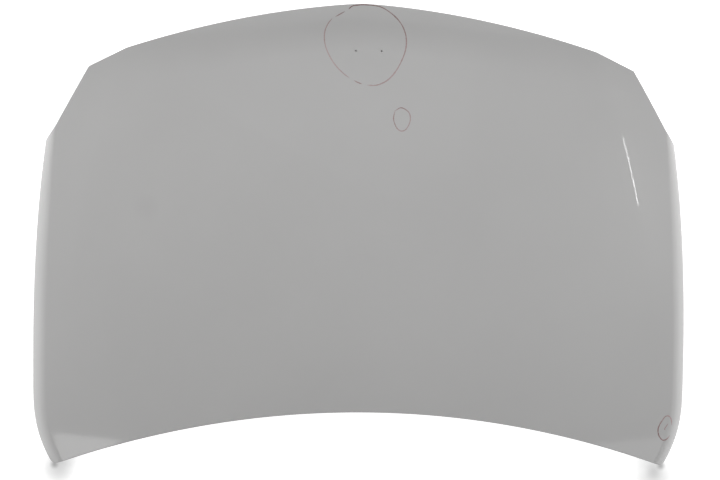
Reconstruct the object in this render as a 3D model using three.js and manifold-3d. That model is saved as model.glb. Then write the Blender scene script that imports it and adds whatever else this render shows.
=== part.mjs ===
// Bonnet of a compact car, lying as it comes to rest: outer face up, on its two rear
// corners and the lip of its nose. Millimetres, nose towards +Y, +Z up.
//
// The outer skin is one thin pressed sheet. Its edge is folded back over the rim of a
// second pressed sheet, the inner frame, whose windows leave the skin open from below.
// Reinforcements, weld nuts, the lock striker, rubber buffers, a prop rod bush and beads
// of mastic sit on the inner frame.

import * as THREE from 'three';
import { mergeVertices } from 'three/addons/utils/BufferGeometryUtils.js';
import Module from 'manifold-3d';

const { clamp, lerp } = THREE.MathUtils;

// Overall plan
const HALF_WIDTH = 750;
const HALF_LENGTH = 531.5; // from the middle to the nose, and to the rear corners
const REAR_HOLLOW = 132.5; // how far the rear edge bows in at its middle
const WIDEST_FROM_REAR = 176.5; // the widest place, forward of the rear corners

// Front edge: a slightly pointed nose
const NOSE_BLUNT = 23;
const FRONT_SWEEP = 0.067;
const FRONT_BOW = 0.00025;

// Corners of the outline, as insets from the widest side and from the nose
const LAMP_START_INSET = 210;
const LAMP_CORNER = { inset: 126, back: 150.5 };
const SHOULDER_FRONT = { inset: 52, back: 286.5 };
const SIDE_FRONT = { inset: 27.7, back: 318.5 };
const REAR_TIP_INSET = 43.5;
const TIP_ROUNDING = 12;

// Lines pressed along the car
const SHOULDER_INSET = 32;
const SHOULDER_FOOT_INSET = 70;
const CREASE_INSET = 63;
const CREASE_FOOT_INSET = 105;
const SIDE_BEND = 2.6;
const SHOULDER_BEND = 2;
const CREASE_BEND = 1.7;
const REAR_BEND = 2.5;

// Crown and pressed forms
const CROWN_Y = -80;
const RADIUS_ALONG = 2900;
const RADIUS_ACROSS = 3800;
const FLANK_DROP = 26;
const FLANK_POWER = 2;
const NOSE_ROLL = 110;
const NOSE_POWER = 2.2;
const NOSE_FADE_X = 680; // the nose drop has faded out here
const CREASE_SLOPE = 0.06;
const CREASE_WIDTH = 60;
const CREASE_FADE_START = -300;
const CREASE_FADE_LENGTH = 400;

// Sheets and hem
const SKIN = 0.8;
const GAP = 0.3;
const SIDE_HEM = 10; // width of the folded flange
const REAR_HEM = 10;
const FRONT_HEM = 13;
const RIM_CLEARANCE = 4; // from the folded flange to where the inner frame turns down
const FRONT_RIM_CLEARANCE = 13;

// Inner frame
const BEAM_DEPTH = 22;
const EDGE_RAMP = 48;
const SIDE_BEAM = 124;
const WINDOWS_IN_ROW = 5;
const WINDOW_FLANGE = 12;
const WINDOW_SEAT_DEPTH = 3.5;
const WINDOW_RAMP = 18;
const WINDOW_RADIUS = 30;
const BEAM_WIDTH = 42;
const REAR_BEAM = 38;
const REAR_WINDOW_LENGTH = 276;
const MIDDLE_BEAM = 40;
const FRONT_WINDOW_LENGTH = 196;

// Level pads pressed into the inner frame
const HINGE_PAD_Z = 30;
const HINGE_PAD_LENGTH = 88;
const STRIKER_PAD_Z = 54;
const STRIKER_PAD_LENGTH = 70;
const STRIKER_PAD_FROM_NOSE = 100;
const PAD_RAMP = 6;

// Fasteners and fittings
const PLATE = 1.6;
const HINGE_PLATE = { width: 60, length: 60, radius: 9 };
const STRIKER_PLATE_MARGIN = 16; // from its ends to the ends of the level pad
const STRIKER_PLATE_LENGTH = 56;
const STRIKER_PLATE_RADIUS = 9;
const BOLT_DIAMETER = 8;
const BOLT_LENGTH = 18;
const BOLT_HEAD = 13;
const BOLT_HEAD_HEIGHT = 6;
const BOLT_HOLE = 9;
const NUT_WIDTH = 14;
const NUT_HEIGHT = 6.5;
const HINGE_BOLT_PITCH = 40;
const BASE = { width: 84, length: 42, radius: 8 };
const BASE_BOLT_INSET = 11; // from the ends of the striker's base to its bolts
const STRIKER_BOLT_PITCH = BASE.width - 2 * BASE_BOLT_INSET;
const BASE_THICKNESS = 2.5;
const BOW_WIRE = 8;
const BOW_WIDTH = 32; // between the middles of its legs
const BOW_HEIGHT = 34;
const BUFFER_HEAD = 22;
const BUFFER_HEIGHT = 11;
const BUFFER_NECK = 9;
const BUFFER_BARB = 13;
const BUFFER_HOLE = 10;
const BUSH_BORE = 11;
const BUSH_FLANGE = 24;
const BUSH_BARREL = 17;
const BUSH_HOLE = 18;
const BUSH_HEIGHT = 10;
const SEAT_GAP = 0.6; // under a round fitting, on the gently curved frame
const BEAD_LENGTH = 64;
const BEAD_WIDTH = 8;
const BEAD_TOP_GAP = 0.7;

// Two holes that a badge was pinned into
const BADGE_HOLE = 3.6;
const BADGE_HOLES_X = [-17.5, 41];
const BADGE_FROM_NOSE = 111.5;

// Nominal grid: u across from the middle, v along from the rear edge, both in millimetres
const REAR_MIDDLE_Y = REAR_HOLLOW - HALF_LENGTH;
const WIDEST_Y = WIDEST_FROM_REAR - HALF_LENGTH;
const SPAN = HALF_LENGTH - REAR_MIDDLE_Y;
const SHOULDER_U = HALF_WIDTH - SHOULDER_INSET;
const CREASE_U = HALF_WIDTH - (LAMP_START_INSET + CREASE_INSET) / 2;
const SIDE_RIM = SIDE_HEM + RIM_CLEARANCE;
const REAR_RIM = REAR_HEM + RIM_CLEARANCE;
const FRONT_RIM = FRONT_HEM + FRONT_RIM_CLEARANCE;

const MERGE = 1e-4; // points closer than this are one

const wasm = await Module();
wasm.setup();

// Outline and lines along the car

function frontY(x) {
  const reach = Math.hypot(x, NOSE_BLUNT) - NOSE_BLUNT;
  return HALF_LENGTH - FRONT_SWEEP * reach - FRONT_BOW * x * x;
}

function rearY(x) {
  return REAR_MIDDLE_Y - REAR_HOLLOW * (x / REAR_TIP.x) ** 2;
}

function rearFoot(inset) {
  const x = HALF_WIDTH - inset;
  return new THREE.Vector2(x, rearY(x));
}

function cornerAt({ inset, back }) {
  return new THREE.Vector2(HALF_WIDTH - inset, HALF_LENGTH - back);
}

const REAR_TIP = new THREE.Vector2(HALF_WIDTH - REAR_TIP_INSET, -HALF_LENGTH);
const LAMP_START_X = HALF_WIDTH - LAMP_START_INSET;
const LAMP_START = new THREE.Vector2(LAMP_START_X, frontY(LAMP_START_X));
const lampCorner = cornerAt(LAMP_CORNER);

const sideEdge = {
  widest: HALF_WIDTH,
  front: cornerAt(SIDE_FRONT),
  rear: REAR_TIP,
  bend: SIDE_BEND,
};
const shoulder = {
  widest: SHOULDER_U,
  front: cornerAt(SHOULDER_FRONT),
  rear: rearFoot(SHOULDER_FOOT_INSET),
  bend: SHOULDER_BEND,
};
const crease = {
  widest: HALF_WIDTH - CREASE_INSET,
  front: LAMP_START,
  rear: rearFoot(CREASE_FOOT_INSET),
  bend: CREASE_BEND,
};

function lineX(line, y) {
  const ahead = Math.max(0, (y - WIDEST_Y) / (line.front.y - WIDEST_Y));
  const behind = Math.max(0, (WIDEST_Y - y) / (WIDEST_Y - line.rear.y));
  const drawnIn = (line.widest - line.front.x) * ahead ** line.bend;
  return line.widest - drawnIn - (line.widest - line.rear.x) * behind ** REAR_BEND;
}

function onLine(line, t) {
  const y = lerp(line.rear.y, line.front.y, t);
  return new THREE.Vector2(lineX(line, y), y);
}

function onMiddle(t) {
  return new THREE.Vector2(0, lerp(REAR_MIDDLE_Y, HALF_LENGTH, t));
}

function onNose(s) {
  const x = LAMP_START.x * s;
  return new THREE.Vector2(x, frontY(x));
}

const LAMP_CORNER_SHARE = LAMP_START.distanceTo(lampCorner)
  / (LAMP_START.distanceTo(lampCorner) + lampCorner.distanceTo(shoulder.front));

function onLampEdge(s) {
  if (s < LAMP_CORNER_SHARE) {
    return LAMP_START.clone().lerp(lampCorner, s / LAMP_CORNER_SHARE);
  }
  const past = (s - LAMP_CORNER_SHARE) / (1 - LAMP_CORNER_SHARE);
  return lampCorner.clone().lerp(shoulder.front, past);
}

function onFlankFront(s) {
  return shoulder.front.clone().lerp(sideEdge.front, s);
}

// Three strips, each between two long lines and closed by the rear and front edges
const strips = [
  { from: 0, to: CREASE_U, left: onMiddle, right: (t) => onLine(crease, t), front: onNose },
  {
    from: CREASE_U,
    to: SHOULDER_U,
    left: (t) => onLine(crease, t),
    right: (t) => onLine(shoulder, t),
    front: onLampEdge,
  },
  {
    from: SHOULDER_U,
    to: HALF_WIDTH,
    left: (t) => onLine(shoulder, t),
    right: (t) => onLine(sideEdge, t),
    front: onFlankFront,
  },
];

function onRear(strip, s) {
  const x = lerp(strip.left(0).x, strip.right(0).x, s);
  return new THREE.Vector2(x, rearY(x));
}

// Coons patch: both pairs of opposite edges, less the corners counted twice
function inStrip(strip, s, t) {
  const point = strip.left(t).lerp(strip.right(t), s);
  point.add(onRear(strip, s).lerp(strip.front(s), t));
  const rear = strip.left(0).lerp(strip.right(0), s);
  const front = strip.left(1).lerp(strip.right(1), s);
  return point.sub(rear.lerp(front, t));
}

// Draws the rear corners in a little, which rounds them
function tipPull(u, v) {
  const fromSide = clamp(1 - (HALF_WIDTH - u) / TIP_ROUNDING, 0, 1);
  const fromRear = clamp(1 - v / TIP_ROUNDING, 0, 1);
  return 0.3 * TIP_ROUNDING * (fromSide * fromRear) ** 2;
}

function plan(u, v) {
  const across = Math.abs(u);
  const strip = strips.find((one) => across <= one.to) ?? strips.at(-1);
  const s = (across - strip.from) / (strip.to - strip.from);
  const point = inStrip(strip, s, v / SPAN);
  const pull = tipPull(across, v) * Math.SQRT1_2;
  return new THREE.Vector2(Math.sign(u) * (point.x - pull), point.y + pull);
}

// Height of the outer face

function crownSag(x, y) {
  return (y - CROWN_Y) ** 2 / (2 * RADIUS_ALONG) + x ** 2 / (2 * RADIUS_ACROSS);
}

const CROWN_Z = crownSag(REAR_TIP.x, REAR_TIP.y) + FLANK_DROP;
const NOSE_DROP = CROWN_Z - crownSag(0, HALF_LENGTH);

function flankFall(x, y) {
  const start = lineX(shoulder, y);
  const width = Math.max(lineX(sideEdge, y) - start, SHOULDER_INSET / 4);
  return FLANK_DROP * clamp((x - start) / width, 0, 1) ** FLANK_POWER;
}

function noseFall(x, y) {
  const depth = NOSE_DROP * clamp(1 - (x / NOSE_FADE_X) ** 2, 0, 1);
  return depth * clamp(1 - (frontY(x) - y) / NOSE_ROLL, 0, 1) ** NOSE_POWER;
}

function creaseFall(x, y) {
  const reach = clamp(x - lineX(crease, y), 0, CREASE_WIDTH);
  const fade = clamp((y - CREASE_FADE_START) / CREASE_FADE_LENGTH, 0, 1);
  return fade * CREASE_SLOPE * (reach - reach ** 2 / (2 * CREASE_WIDTH));
}

function skinHeight(x, y) {
  const across = Math.abs(x);
  const fall = flankFall(across, y) + noseFall(across, y) + creaseFall(across, y);
  return CROWN_Z - crownSag(x, y) - fall;
}

function skinNormal(x, y) {
  const step = 1;
  const slopeX = (skinHeight(x + step, y) - skinHeight(x - step, y)) / (2 * step);
  const slopeY = (skinHeight(x, y + step) - skinHeight(x, y - step)) / (2 * step);
  return new THREE.Vector3(-slopeX, -slopeY, 1).normalize();
}

// A point under the outer face: depth along the normal, then drop straight down
function underSkin(u, v, depth, drop = 0) {
  const { x, y } = plan(u, v);
  const point = new THREE.Vector3(x, y, skinHeight(x, y));
  point.addScaledVector(skinNormal(x, y), -depth);
  point.z -= drop;
  return point;
}

// Layout of the inner frame

// The windows and the beams between them fill the width between the side beams
const SIDE_BEAM_END = HALF_WIDTH - SIDE_RIM - EDGE_RAMP;
const SIDE_BEAM_START = SIDE_BEAM_END - SIDE_BEAM;
const SIDE_BEAM_MIDDLE = (SIDE_BEAM_START + SIDE_BEAM_END) / 2;
const WINDOW_PITCH = (2 * SIDE_BEAM_START + BEAM_WIDTH) / WINDOWS_IN_ROW;
const SEAT_WIDTH = WINDOW_PITCH - BEAM_WIDTH - 2 * WINDOW_RAMP;
const windowColumns = Array.from({ length: WINDOWS_IN_ROW }, (_, i) => (
  (i - (WINDOWS_IN_ROW - 1) / 2) * WINDOW_PITCH
));

const REAR_BEAM_END = REAR_RIM + EDGE_RAMP + REAR_BEAM;
const REAR_SEAT_LENGTH = REAR_WINDOW_LENGTH + 2 * WINDOW_FLANGE;
const REAR_ROW = REAR_BEAM_END + WINDOW_RAMP + REAR_SEAT_LENGTH / 2;
const MIDDLE_BEAM_START = REAR_BEAM_END + 2 * WINDOW_RAMP + REAR_SEAT_LENGTH;
const FRONT_SEAT_LENGTH = FRONT_WINDOW_LENGTH + 2 * WINDOW_FLANGE;
const FRONT_ROW = MIDDLE_BEAM_START + MIDDLE_BEAM + WINDOW_RAMP + FRONT_SEAT_LENGTH / 2;

const rows = [
  { centre: REAR_ROW, seat: REAR_SEAT_LENGTH, name: 'rear' },
  { centre: FRONT_ROW, seat: FRONT_SEAT_LENGTH, name: 'front' },
];
const windows = rows.flatMap((row) => windowColumns.map((column) => ({ column, row })));

const STRIKER_V = SPAN - STRIKER_PAD_FROM_NOSE - STRIKER_PAD_LENGTH / 2;
const HINGE_V = REAR_RIM + EDGE_RAMP + HINGE_PAD_LENGTH / 2;

const hingePad = {
  u: SIDE_BEAM_MIDDLE,
  v: HINGE_V,
  width: SIDE_BEAM,
  length: HINGE_PAD_LENGTH,
  z: HINGE_PAD_Z,
};
const strikerPad = {
  u: 0,
  v: STRIKER_V,
  width: SEAT_WIDTH,
  length: STRIKER_PAD_LENGTH,
  z: STRIKER_PAD_Z,
};

function outsideBox(u, v, centreU, centreV, width, length) {
  return Math.max(Math.abs(u - centreU) - width / 2, Math.abs(v - centreV) - length / 2);
}

function frameDrop(u, v) {
  const across = Math.abs(u);
  const fromEdge = Math.min(
    HALF_WIDTH - SIDE_RIM - across,
    v - REAR_RIM,
    SPAN - FRONT_RIM - v,
  );
  let drop = BEAM_DEPTH * clamp(fromEdge / EDGE_RAMP, 0, 1);
  for (const { column, row } of windows) {
    const away = outsideBox(u, v, column, row.centre, SEAT_WIDTH, row.seat);
    const rise = clamp(away / WINDOW_RAMP, 0, 1);
    drop = Math.min(drop, lerp(WINDOW_SEAT_DEPTH, BEAM_DEPTH, rise));
  }
  return drop;
}

const RIM_DEPTH = SKIN + GAP;

function framePoint(u, v) {
  const point = underSkin(u, v, RIM_DEPTH, frameDrop(u, v));
  for (const pad of [hingePad, strikerPad]) {
    const away = outsideBox(Math.abs(u), v, pad.u, pad.v, pad.width, pad.length);
    point.z = lerp(pad.z, point.z, clamp(away / PAD_RAMP, 0, 1));
  }
  return point;
}

function frameNormal(u, v) {
  const step = 4;
  const across = framePoint(u + step, v).sub(framePoint(u - step, v));
  const along = framePoint(u, v + step).sub(framePoint(u, v - step));
  return across.cross(along).normalize();
}

// Grid lines, which both sheets share

function between(start, end, count) {
  return Array.from({ length: count - 1 }, (_, i) => lerp(start, end, (i + 1) / count));
}

function tidyLines(values) {
  const sorted = [...values].sort((a, b) => a - b);
  return sorted.filter((value, i) => i === 0 || value - sorted[i - 1] > 1);
}

function acrossLines() {
  const half = [0];
  for (const column of windowColumns.filter((one) => one >= 0)) {
    half.push(column, column + SEAT_WIDTH / 2, column + SEAT_WIDTH / 2 + WINDOW_RAMP);
    half.push(Math.abs(column - SEAT_WIDTH / 2), Math.abs(column - SEAT_WIDTH / 2 - WINDOW_RAMP));
  }
  const lampCornerU = lerp(CREASE_U, SHOULDER_U, LAMP_CORNER_SHARE);
  half.push(CREASE_U, lampCornerU, SIDE_BEAM_END, SHOULDER_U);
  half.push(HALF_WIDTH - SIDE_RIM, HALF_WIDTH - SIDE_HEM, HALF_WIDTH);
  return tidyLines([...half, ...half.map((value) => -value)]);
}

function alongLines() {
  const lines = [0, REAR_HEM, REAR_RIM, REAR_RIM + EDGE_RAMP];
  for (const row of rows) {
    const start = row.centre - row.seat / 2;
    const end = row.centre + row.seat / 2;
    lines.push(start - WINDOW_RAMP, start, ...between(start, end, 3), end, end + WINDOW_RAMP);
  }
  lines.push(STRIKER_V - STRIKER_PAD_LENGTH / 2, STRIKER_V, STRIKER_V + STRIKER_PAD_LENGTH / 2);
  lines.push(HINGE_V + HINGE_PAD_LENGTH / 2);
  const frontRampEnd = SPAN - FRONT_RIM - EDGE_RAMP;
  lines.push(frontRampEnd, SPAN - FRONT_RIM - EDGE_RAMP / 2, SPAN - FRONT_RIM);
  lines.push(SPAN - FRONT_HEM, SPAN);
  return tidyLines(lines);
}

const across = acrossLines();
const along = alongLines();

// Sheets

// The rim of the grid, once round, seen from above
function rimPlaces() {
  const [lastI, lastJ] = [across.length - 1, along.length - 1];
  const rim = [];
  for (let i = 0; i < lastI; i++) rim.push([i, 0]);
  for (let j = 0; j < lastJ; j++) rim.push([lastI, j]);
  for (let i = lastI; i > 0; i--) rim.push([i, lastJ]);
  for (let j = lastJ; j > 0; j--) rim.push([0, j]);
  return rim;
}

const rim = rimPlaces();
const innerPlaces = rim.map(([i, j]) => [
  clamp(i, 1, across.length - 2),
  clamp(j, 1, along.length - 2),
]);

function nodesAt(places, pointAt) {
  return places.map(([i, j]) => {
    const [u, v] = [across[i], along[j]];
    return { u, v, point: pointAt(u, v, i, j) };
  });
}

const allPlaces = along.flatMap((_, j) => across.map((__, i) => [i, j]));
const gridIndex = ([i, j]) => j * across.length + i;

// Splits a quad along the diagonal that leans the same way on the whole of one side
function splitQuad(a, b, c, d) {
  const lean = (c.u - a.u) * (c.v - a.v) * Math.sign(a.u + c.u);
  return lean > 0 ? [[b, c, d], [b, d, a]] : [[a, b, c], [a, c, d]];
}

// Two grids of nodes, upper and lower, closed by rings of nodes around the rim
function closedSheet(upper, lower, rings) {
  const triangles = [];
  for (const [i, j] of allPlaces) {
    if (i + 1 === across.length || j + 1 === along.length) continue;
    const corners = [[i, j], [i + 1, j], [i + 1, j + 1], [i, j + 1]].map(gridIndex);
    triangles.push(...splitQuad(...corners.map((index) => upper[index])));
    triangles.push(...splitQuad(...corners.reverse().map((index) => lower[index])));
  }
  const loops = [rim.map((place) => upper[gridIndex(place)]), ...rings];
  loops.push(rim.map((place) => lower[gridIndex(place)]));
  for (let k = 0; k + 1 < loops.length; k++) {
    const [high, low] = [loops[k], loops[k + 1]];
    for (let i = 0; i < rim.length; i++) {
      const next = (i + 1) % rim.length;
      triangles.push(...splitQuad(high[i], low[i], low[next], high[next]));
    }
  }
  return geometryFrom(triangles.map((corners) => corners.map(({ point }) => point)));
}

// Triangles given by their corner points; those that have shrunk to a line are left out
function geometryFrom(triangles) {
  const real = triangles.filter(([a, b, c]) => (
    a.distanceTo(b) > MERGE && b.distanceTo(c) > MERGE && c.distanceTo(a) > MERGE
  ));
  return bare(new THREE.BufferGeometry().setFromPoints(real.flat()));
}

// Outward and inward directions at each rim node, in the plane of the sheet there
function rimFrames() {
  const onFace = (u, v) => underSkin(u, v, 0);
  const outer = nodesAt(rim, onFace);
  const inner = nodesAt(innerPlaces, onFace);
  return outer.map((node, k) => {
    const before = outer.at(k - 1).point;
    const after = outer[(k + 1) % outer.length].point;
    const tangent = after.clone().sub(before).normalize();
    const outward = node.point.clone().sub(inner[k].point);
    outward.addScaledVector(tangent, -outward.dot(tangent)).normalize();
    const { x, y } = plan(node.u, node.v);
    return { ...node, outward, normal: skinNormal(x, y) };
  });
}

// Rings of the hem: round the fold, in along the flange, and back along its upper face
function hemRings() {
  const frames = rimFrames();
  const foldDepth = SKIN + GAP + SKIN / 2;
  const onFold = (radius, angle) => frames.map(({ u, v, point, outward, normal }) => {
    const place = point.clone().addScaledVector(outward, radius * Math.cos(angle));
    place.addScaledVector(normal, radius * Math.sin(angle) - foldDepth);
    return { u, v, point: place };
  });
  const [large, small] = [foldDepth, foldDepth - SKIN];
  const down = -Math.PI / 2;
  return [
    onFold(large, 0),
    onFold(large, down),
    nodesAt(innerPlaces, (u, v) => underSkin(u, v, foldDepth + large)),
    nodesAt(innerPlaces, (u, v) => underSkin(u, v, foldDepth + small)),
    onFold(small, down),
    onFold(small, 0),
  ];
}

function outerSkin() {
  const upper = nodesAt(allPlaces, (u, v) => underSkin(u, v, 0));
  const lower = nodesAt(allPlaces, (u, v) => underSkin(u, v, SKIN));
  const sheet = solid(closedSheet(upper, lower, hemRings()));
  const y = HALF_LENGTH - BADGE_FROM_NOSE;
  const holes = BADGE_HOLES_X.map((x) => drill(x, y, BADGE_HOLE));
  return geometryOf(cut(sheet, holes));
}

function innerFrame() {
  const upper = nodesAt(allPlaces, framePoint);
  const lower = nodesAt(allPlaces, (u, v, i, j) => {
    const atRim = Math.abs(u) >= HALF_WIDTH - SIDE_RIM || v <= REAR_RIM || v >= SPAN - FRONT_RIM;
    if (atRim) return underSkin(u, v, RIM_DEPTH + SKIN);
    return framePoint(u, v).addScaledVector(facetNormal(i, j), -SKIN);
  });
  const sheet = solid(closedSheet(upper, lower, []));
  const holes = windows.map(windowTool);
  for (const side of [-1, 1]) {
    for (const y of hingeBoltsY) holes.push(drill(side * hingeCentre.x, y, BOLT_HOLE));
    holes.push(drill(side * STRIKER_BOLT_PITCH / 2, strikerCentre.y, BOLT_HOLE));
  }
  for (const { u, v } of buffers) holes.push(drillAcross(u, v, BUFFER_HOLE));
  holes.push(drillAcross(bush.u, bush.v, BUSH_HOLE));
  return geometryOf(cut(sheet, holes));
}

// Mean direction of the facets around a node, with a height of one: level pads stay level
function facetNormal(i, j) {
  const ahead = framePoint(across[i + 1], along[j]).sub(framePoint(across[i - 1], along[j]));
  const aside = framePoint(across[i], along[j + 1]).sub(framePoint(across[i], along[j - 1]));
  const normal = ahead.cross(aside);
  return normal.divideScalar(normal.z);
}

function roundedRectangle({ width, length, radius }) {
  const shape = new THREE.Shape();
  const [x, y] = [width / 2, length / 2];
  const corners = [[x - radius, y - radius, 0], [radius - x, y - radius, 1],
    [radius - x, radius - y, 2], [x - radius, radius - y, 3]];
  for (const [cx, cy, quarter] of corners) {
    const start = quarter * Math.PI / 2;
    shape.absarc(cx, cy, radius, start, start + Math.PI / 2, false);
  }
  return shape;
}

const TOOL_HEIGHT = 400;

function windowTool({ column, row }) {
  const opening = roundedRectangle({
    width: SEAT_WIDTH - 2 * WINDOW_FLANGE,
    length: row.seat - 2 * WINDOW_FLANGE,
    radius: WINDOW_RADIUS,
  });
  const points = opening.getPoints(2).slice(0, -1);
  const outline = points.map(({ x, y }) => plan(column + x, row.centre + y));
  const geometry = new THREE.ExtrudeGeometry(new THREE.Shape(outline), {
    depth: TOOL_HEIGHT,
    bevelEnabled: false,
  });
  return solid(geometry.translate(0, 0, -TOOL_HEIGHT / 2));
}

function upright(radius, height, sides = 16) {
  return new THREE.CylinderGeometry(radius, radius, height, sides).rotateX(Math.PI / 2);
}

function drill(x, y, diameter) {
  return solid(upright(diameter / 2, TOOL_HEIGHT).translate(x, y, 0));
}

function drillAcross(u, v, diameter) {
  const tool = upright(diameter / 2, 4 * BUFFER_HEIGHT);
  return solid(tool.applyMatrix4(seatMatrix(u, v)));
}

// Solids

function bare(geometry) {
  const stripped = geometry.clone();
  stripped.deleteAttribute('normal');
  stripped.deleteAttribute('uv');
  return mergeVertices(stripped, MERGE);
}

function solid(geometry) {
  const merged = bare(geometry);
  return new wasm.Manifold(new wasm.Mesh({
    numProp: 3,
    vertProperties: new Float32Array(merged.attributes.position.array),
    triVerts: new Uint32Array(merged.index.array),
  }));
}

function cut(body, tools) {
  return tools.reduce((left, tool) => left.subtract(tool), body);
}

function geometryOf(body) {
  const { vertProperties, triVerts } = body.getMesh();
  const geometry = new THREE.BufferGeometry();
  geometry.setAttribute('position', new THREE.BufferAttribute(vertProperties, 3));
  geometry.setIndex(new THREE.BufferAttribute(triVerts, 1));
  return geometry;
}

// Places of the fittings

const hingeCentre = plan(SIDE_BEAM_START, HINGE_V).lerp(plan(SIDE_BEAM_END, HINGE_V), 0.5);
const hingeBoltsY = [-1, 1].map((end) => hingeCentre.y + end * HINGE_BOLT_PITCH / 2);
const strikerCentre = plan(0, STRIKER_V);
const FRONT_BEAM_START = FRONT_ROW + FRONT_SEAT_LENGTH / 2 + WINDOW_RAMP;
const FRONT_BEAM_V = (FRONT_BEAM_START + SPAN - FRONT_RIM - EDGE_RAMP) / 2;
const MIDDLE_BEAM_V = MIDDLE_BEAM_START + MIDDLE_BEAM / 2;
const sides = [{ name: 'left', sign: -1 }, { name: 'right', sign: 1 }];
const buffers = sides.flatMap(({ name, sign }) => [
  { name: `front_buffer_${name}`, u: sign * windowColumns.at(-1), v: FRONT_BEAM_V },
  { name: `side_buffer_${name}`, u: sign * SIDE_BEAM_MIDDLE, v: MIDDLE_BEAM_V },
]);
const bush = { u: SIDE_BEAM_MIDDLE, v: FRONT_ROW };

// Stands a fitting on the frame, its own +Z up through the sheet
function seatMatrix(u, v) {
  const turn = new THREE.Quaternion();
  turn.setFromUnitVectors(new THREE.Vector3(0, 0, 1), frameNormal(u, v));
  return new THREE.Matrix4().compose(framePoint(u, v), turn, new THREE.Vector3(1, 1, 1));
}

function plate(outline, thickness, holeCentres) {
  const shape = roundedRectangle(outline);
  for (const [x, y] of holeCentres) {
    const hole = new THREE.Path();
    hole.absarc(x, y, BOLT_HOLE / 2, 0, 2 * Math.PI, true);
    shape.holes.push(hole);
  }
  return new THREE.ExtrudeGeometry(shape, { depth: thickness, bevelEnabled: false, curveSegments: 4 });
}

const strikerPlate = {
  width: strikerPad.width - 2 * STRIKER_PLATE_MARGIN,
  length: STRIKER_PLATE_LENGTH,
  radius: STRIKER_PLATE_RADIUS,
};
const hingeHoles = [-1, 1].map((end) => [0, end * HINGE_BOLT_PITCH / 2]);
const strikerHoles = [-1, 1].map((side) => [side * STRIKER_BOLT_PITCH / 2, 0]);

function hexagon(width) {
  const corners = Array.from({ length: 6 }, (_, i) => {
    const angle = i * Math.PI / 3;
    const reach = width / Math.sqrt(3);
    return new THREE.Vector2(reach * Math.cos(angle), reach * Math.sin(angle));
  });
  return new THREE.Shape(corners);
}

function weldNut() {
  const shape = hexagon(NUT_WIDTH);
  const bore = new THREE.Path();
  bore.absarc(0, 0, BOLT_DIAMETER / 2 + GAP, 0, 2 * Math.PI, true);
  shape.holes.push(bore);
  return new THREE.ExtrudeGeometry(shape, { depth: NUT_HEIGHT, bevelEnabled: false, curveSegments: 5 });
}

// Bolt with its head down: the head's upper face is at z = 0
function bolt() {
  const head = new THREE.ExtrudeGeometry(hexagon(BOLT_HEAD), { depth: BOLT_HEAD_HEIGHT, bevelEnabled: false });
  head.translate(0, 0, -BOLT_HEAD_HEIGHT);
  const washerHeight = BOLT_HEAD_HEIGHT / 4;
  const washer = upright(BOLT_HEAD * 0.68, washerHeight).translate(0, 0, -washerHeight / 2);
  const shank = upright(BOLT_DIAMETER / 2, BOLT_LENGTH + washerHeight, 12);
  shank.translate(0, 0, (BOLT_LENGTH - washerHeight) / 2);
  return geometryOf(solid(head).add(solid(washer)).add(solid(shank)));
}

// The striker's wire: down one leg, round, and up the other, in the plane along the car
class BowCurve extends THREE.Curve {
  getPoint(t, target = new THREE.Vector3()) {
    const radius = BOW_WIDTH / 2;
    const leg = BOW_HEIGHT - radius;
    const turn = Math.PI * radius;
    const run = t * (2 * leg + turn);
    if (run < leg) return target.set(0, -radius, -run);
    if (run > leg + turn) return target.set(0, radius, run - turn - 2 * leg);
    const angle = (run - leg) / radius;
    return target.set(0, -radius * Math.cos(angle), -leg - radius * Math.sin(angle));
  }
}

function bow() {
  const section = new THREE.Shape();
  section.absarc(0, 0, BOW_WIRE / 2, 0, 2 * Math.PI, false);
  return new THREE.ExtrudeGeometry(section, {
    extrudePath: new BowCurve(),
    steps: 20,
    curveSegments: 4,
    bevelEnabled: false,
  });
}

function lathe(profile, sides = 12) {
  const points = profile.map(([r, z]) => new THREE.Vector2(r, z));
  return new THREE.LatheGeometry(points, sides).rotateX(Math.PI / 2);
}

// Push-in rubber buffer: z = 0 is the upper face of the frame
function buffer() {
  const below = -SKIN - SEAT_GAP;
  const neck = BUFFER_NECK / 2;
  const barb = BUFFER_BARB / 2;
  return lathe([
    [0, below - BUFFER_HEIGHT],
    [BUFFER_HEAD * 0.27, below - BUFFER_HEIGHT],
    [BUFFER_HEAD * 0.42, below - BUFFER_HEIGHT * 0.8],
    [BUFFER_HEAD / 2, below - BUFFER_HEIGHT * 0.3],
    [BUFFER_HEAD / 2, below],
    [neck, below],
    [neck, SEAT_GAP],
    [barb, SEAT_GAP],
    [neck * 0.7, SEAT_GAP + barb],
    [0, SEAT_GAP + barb],
  ]);
}

// Bush for the tip of the prop rod: a flanged sleeve with a snap ring above the frame
function propRodBush() {
  const below = -SKIN - SEAT_GAP;
  const flangeThickness = BUSH_HEIGHT / 5;
  return lathe([
    [BUSH_BORE / 2, below - flangeThickness],
    [BUSH_FLANGE / 2, below - flangeThickness],
    [BUSH_FLANGE / 2, below],
    [BUSH_BARREL / 2, below],
    [BUSH_BARREL / 2, SEAT_GAP],
    [BUSH_HOLE / 2 + 1, SEAT_GAP],
    [BUSH_BARREL / 2 - 1, BUSH_HEIGHT - flangeThickness],
    [BUSH_BORE / 2, BUSH_HEIGHT - flangeThickness],
    [BUSH_BORE / 2, below - flangeThickness],
  ], 20);
}

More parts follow.
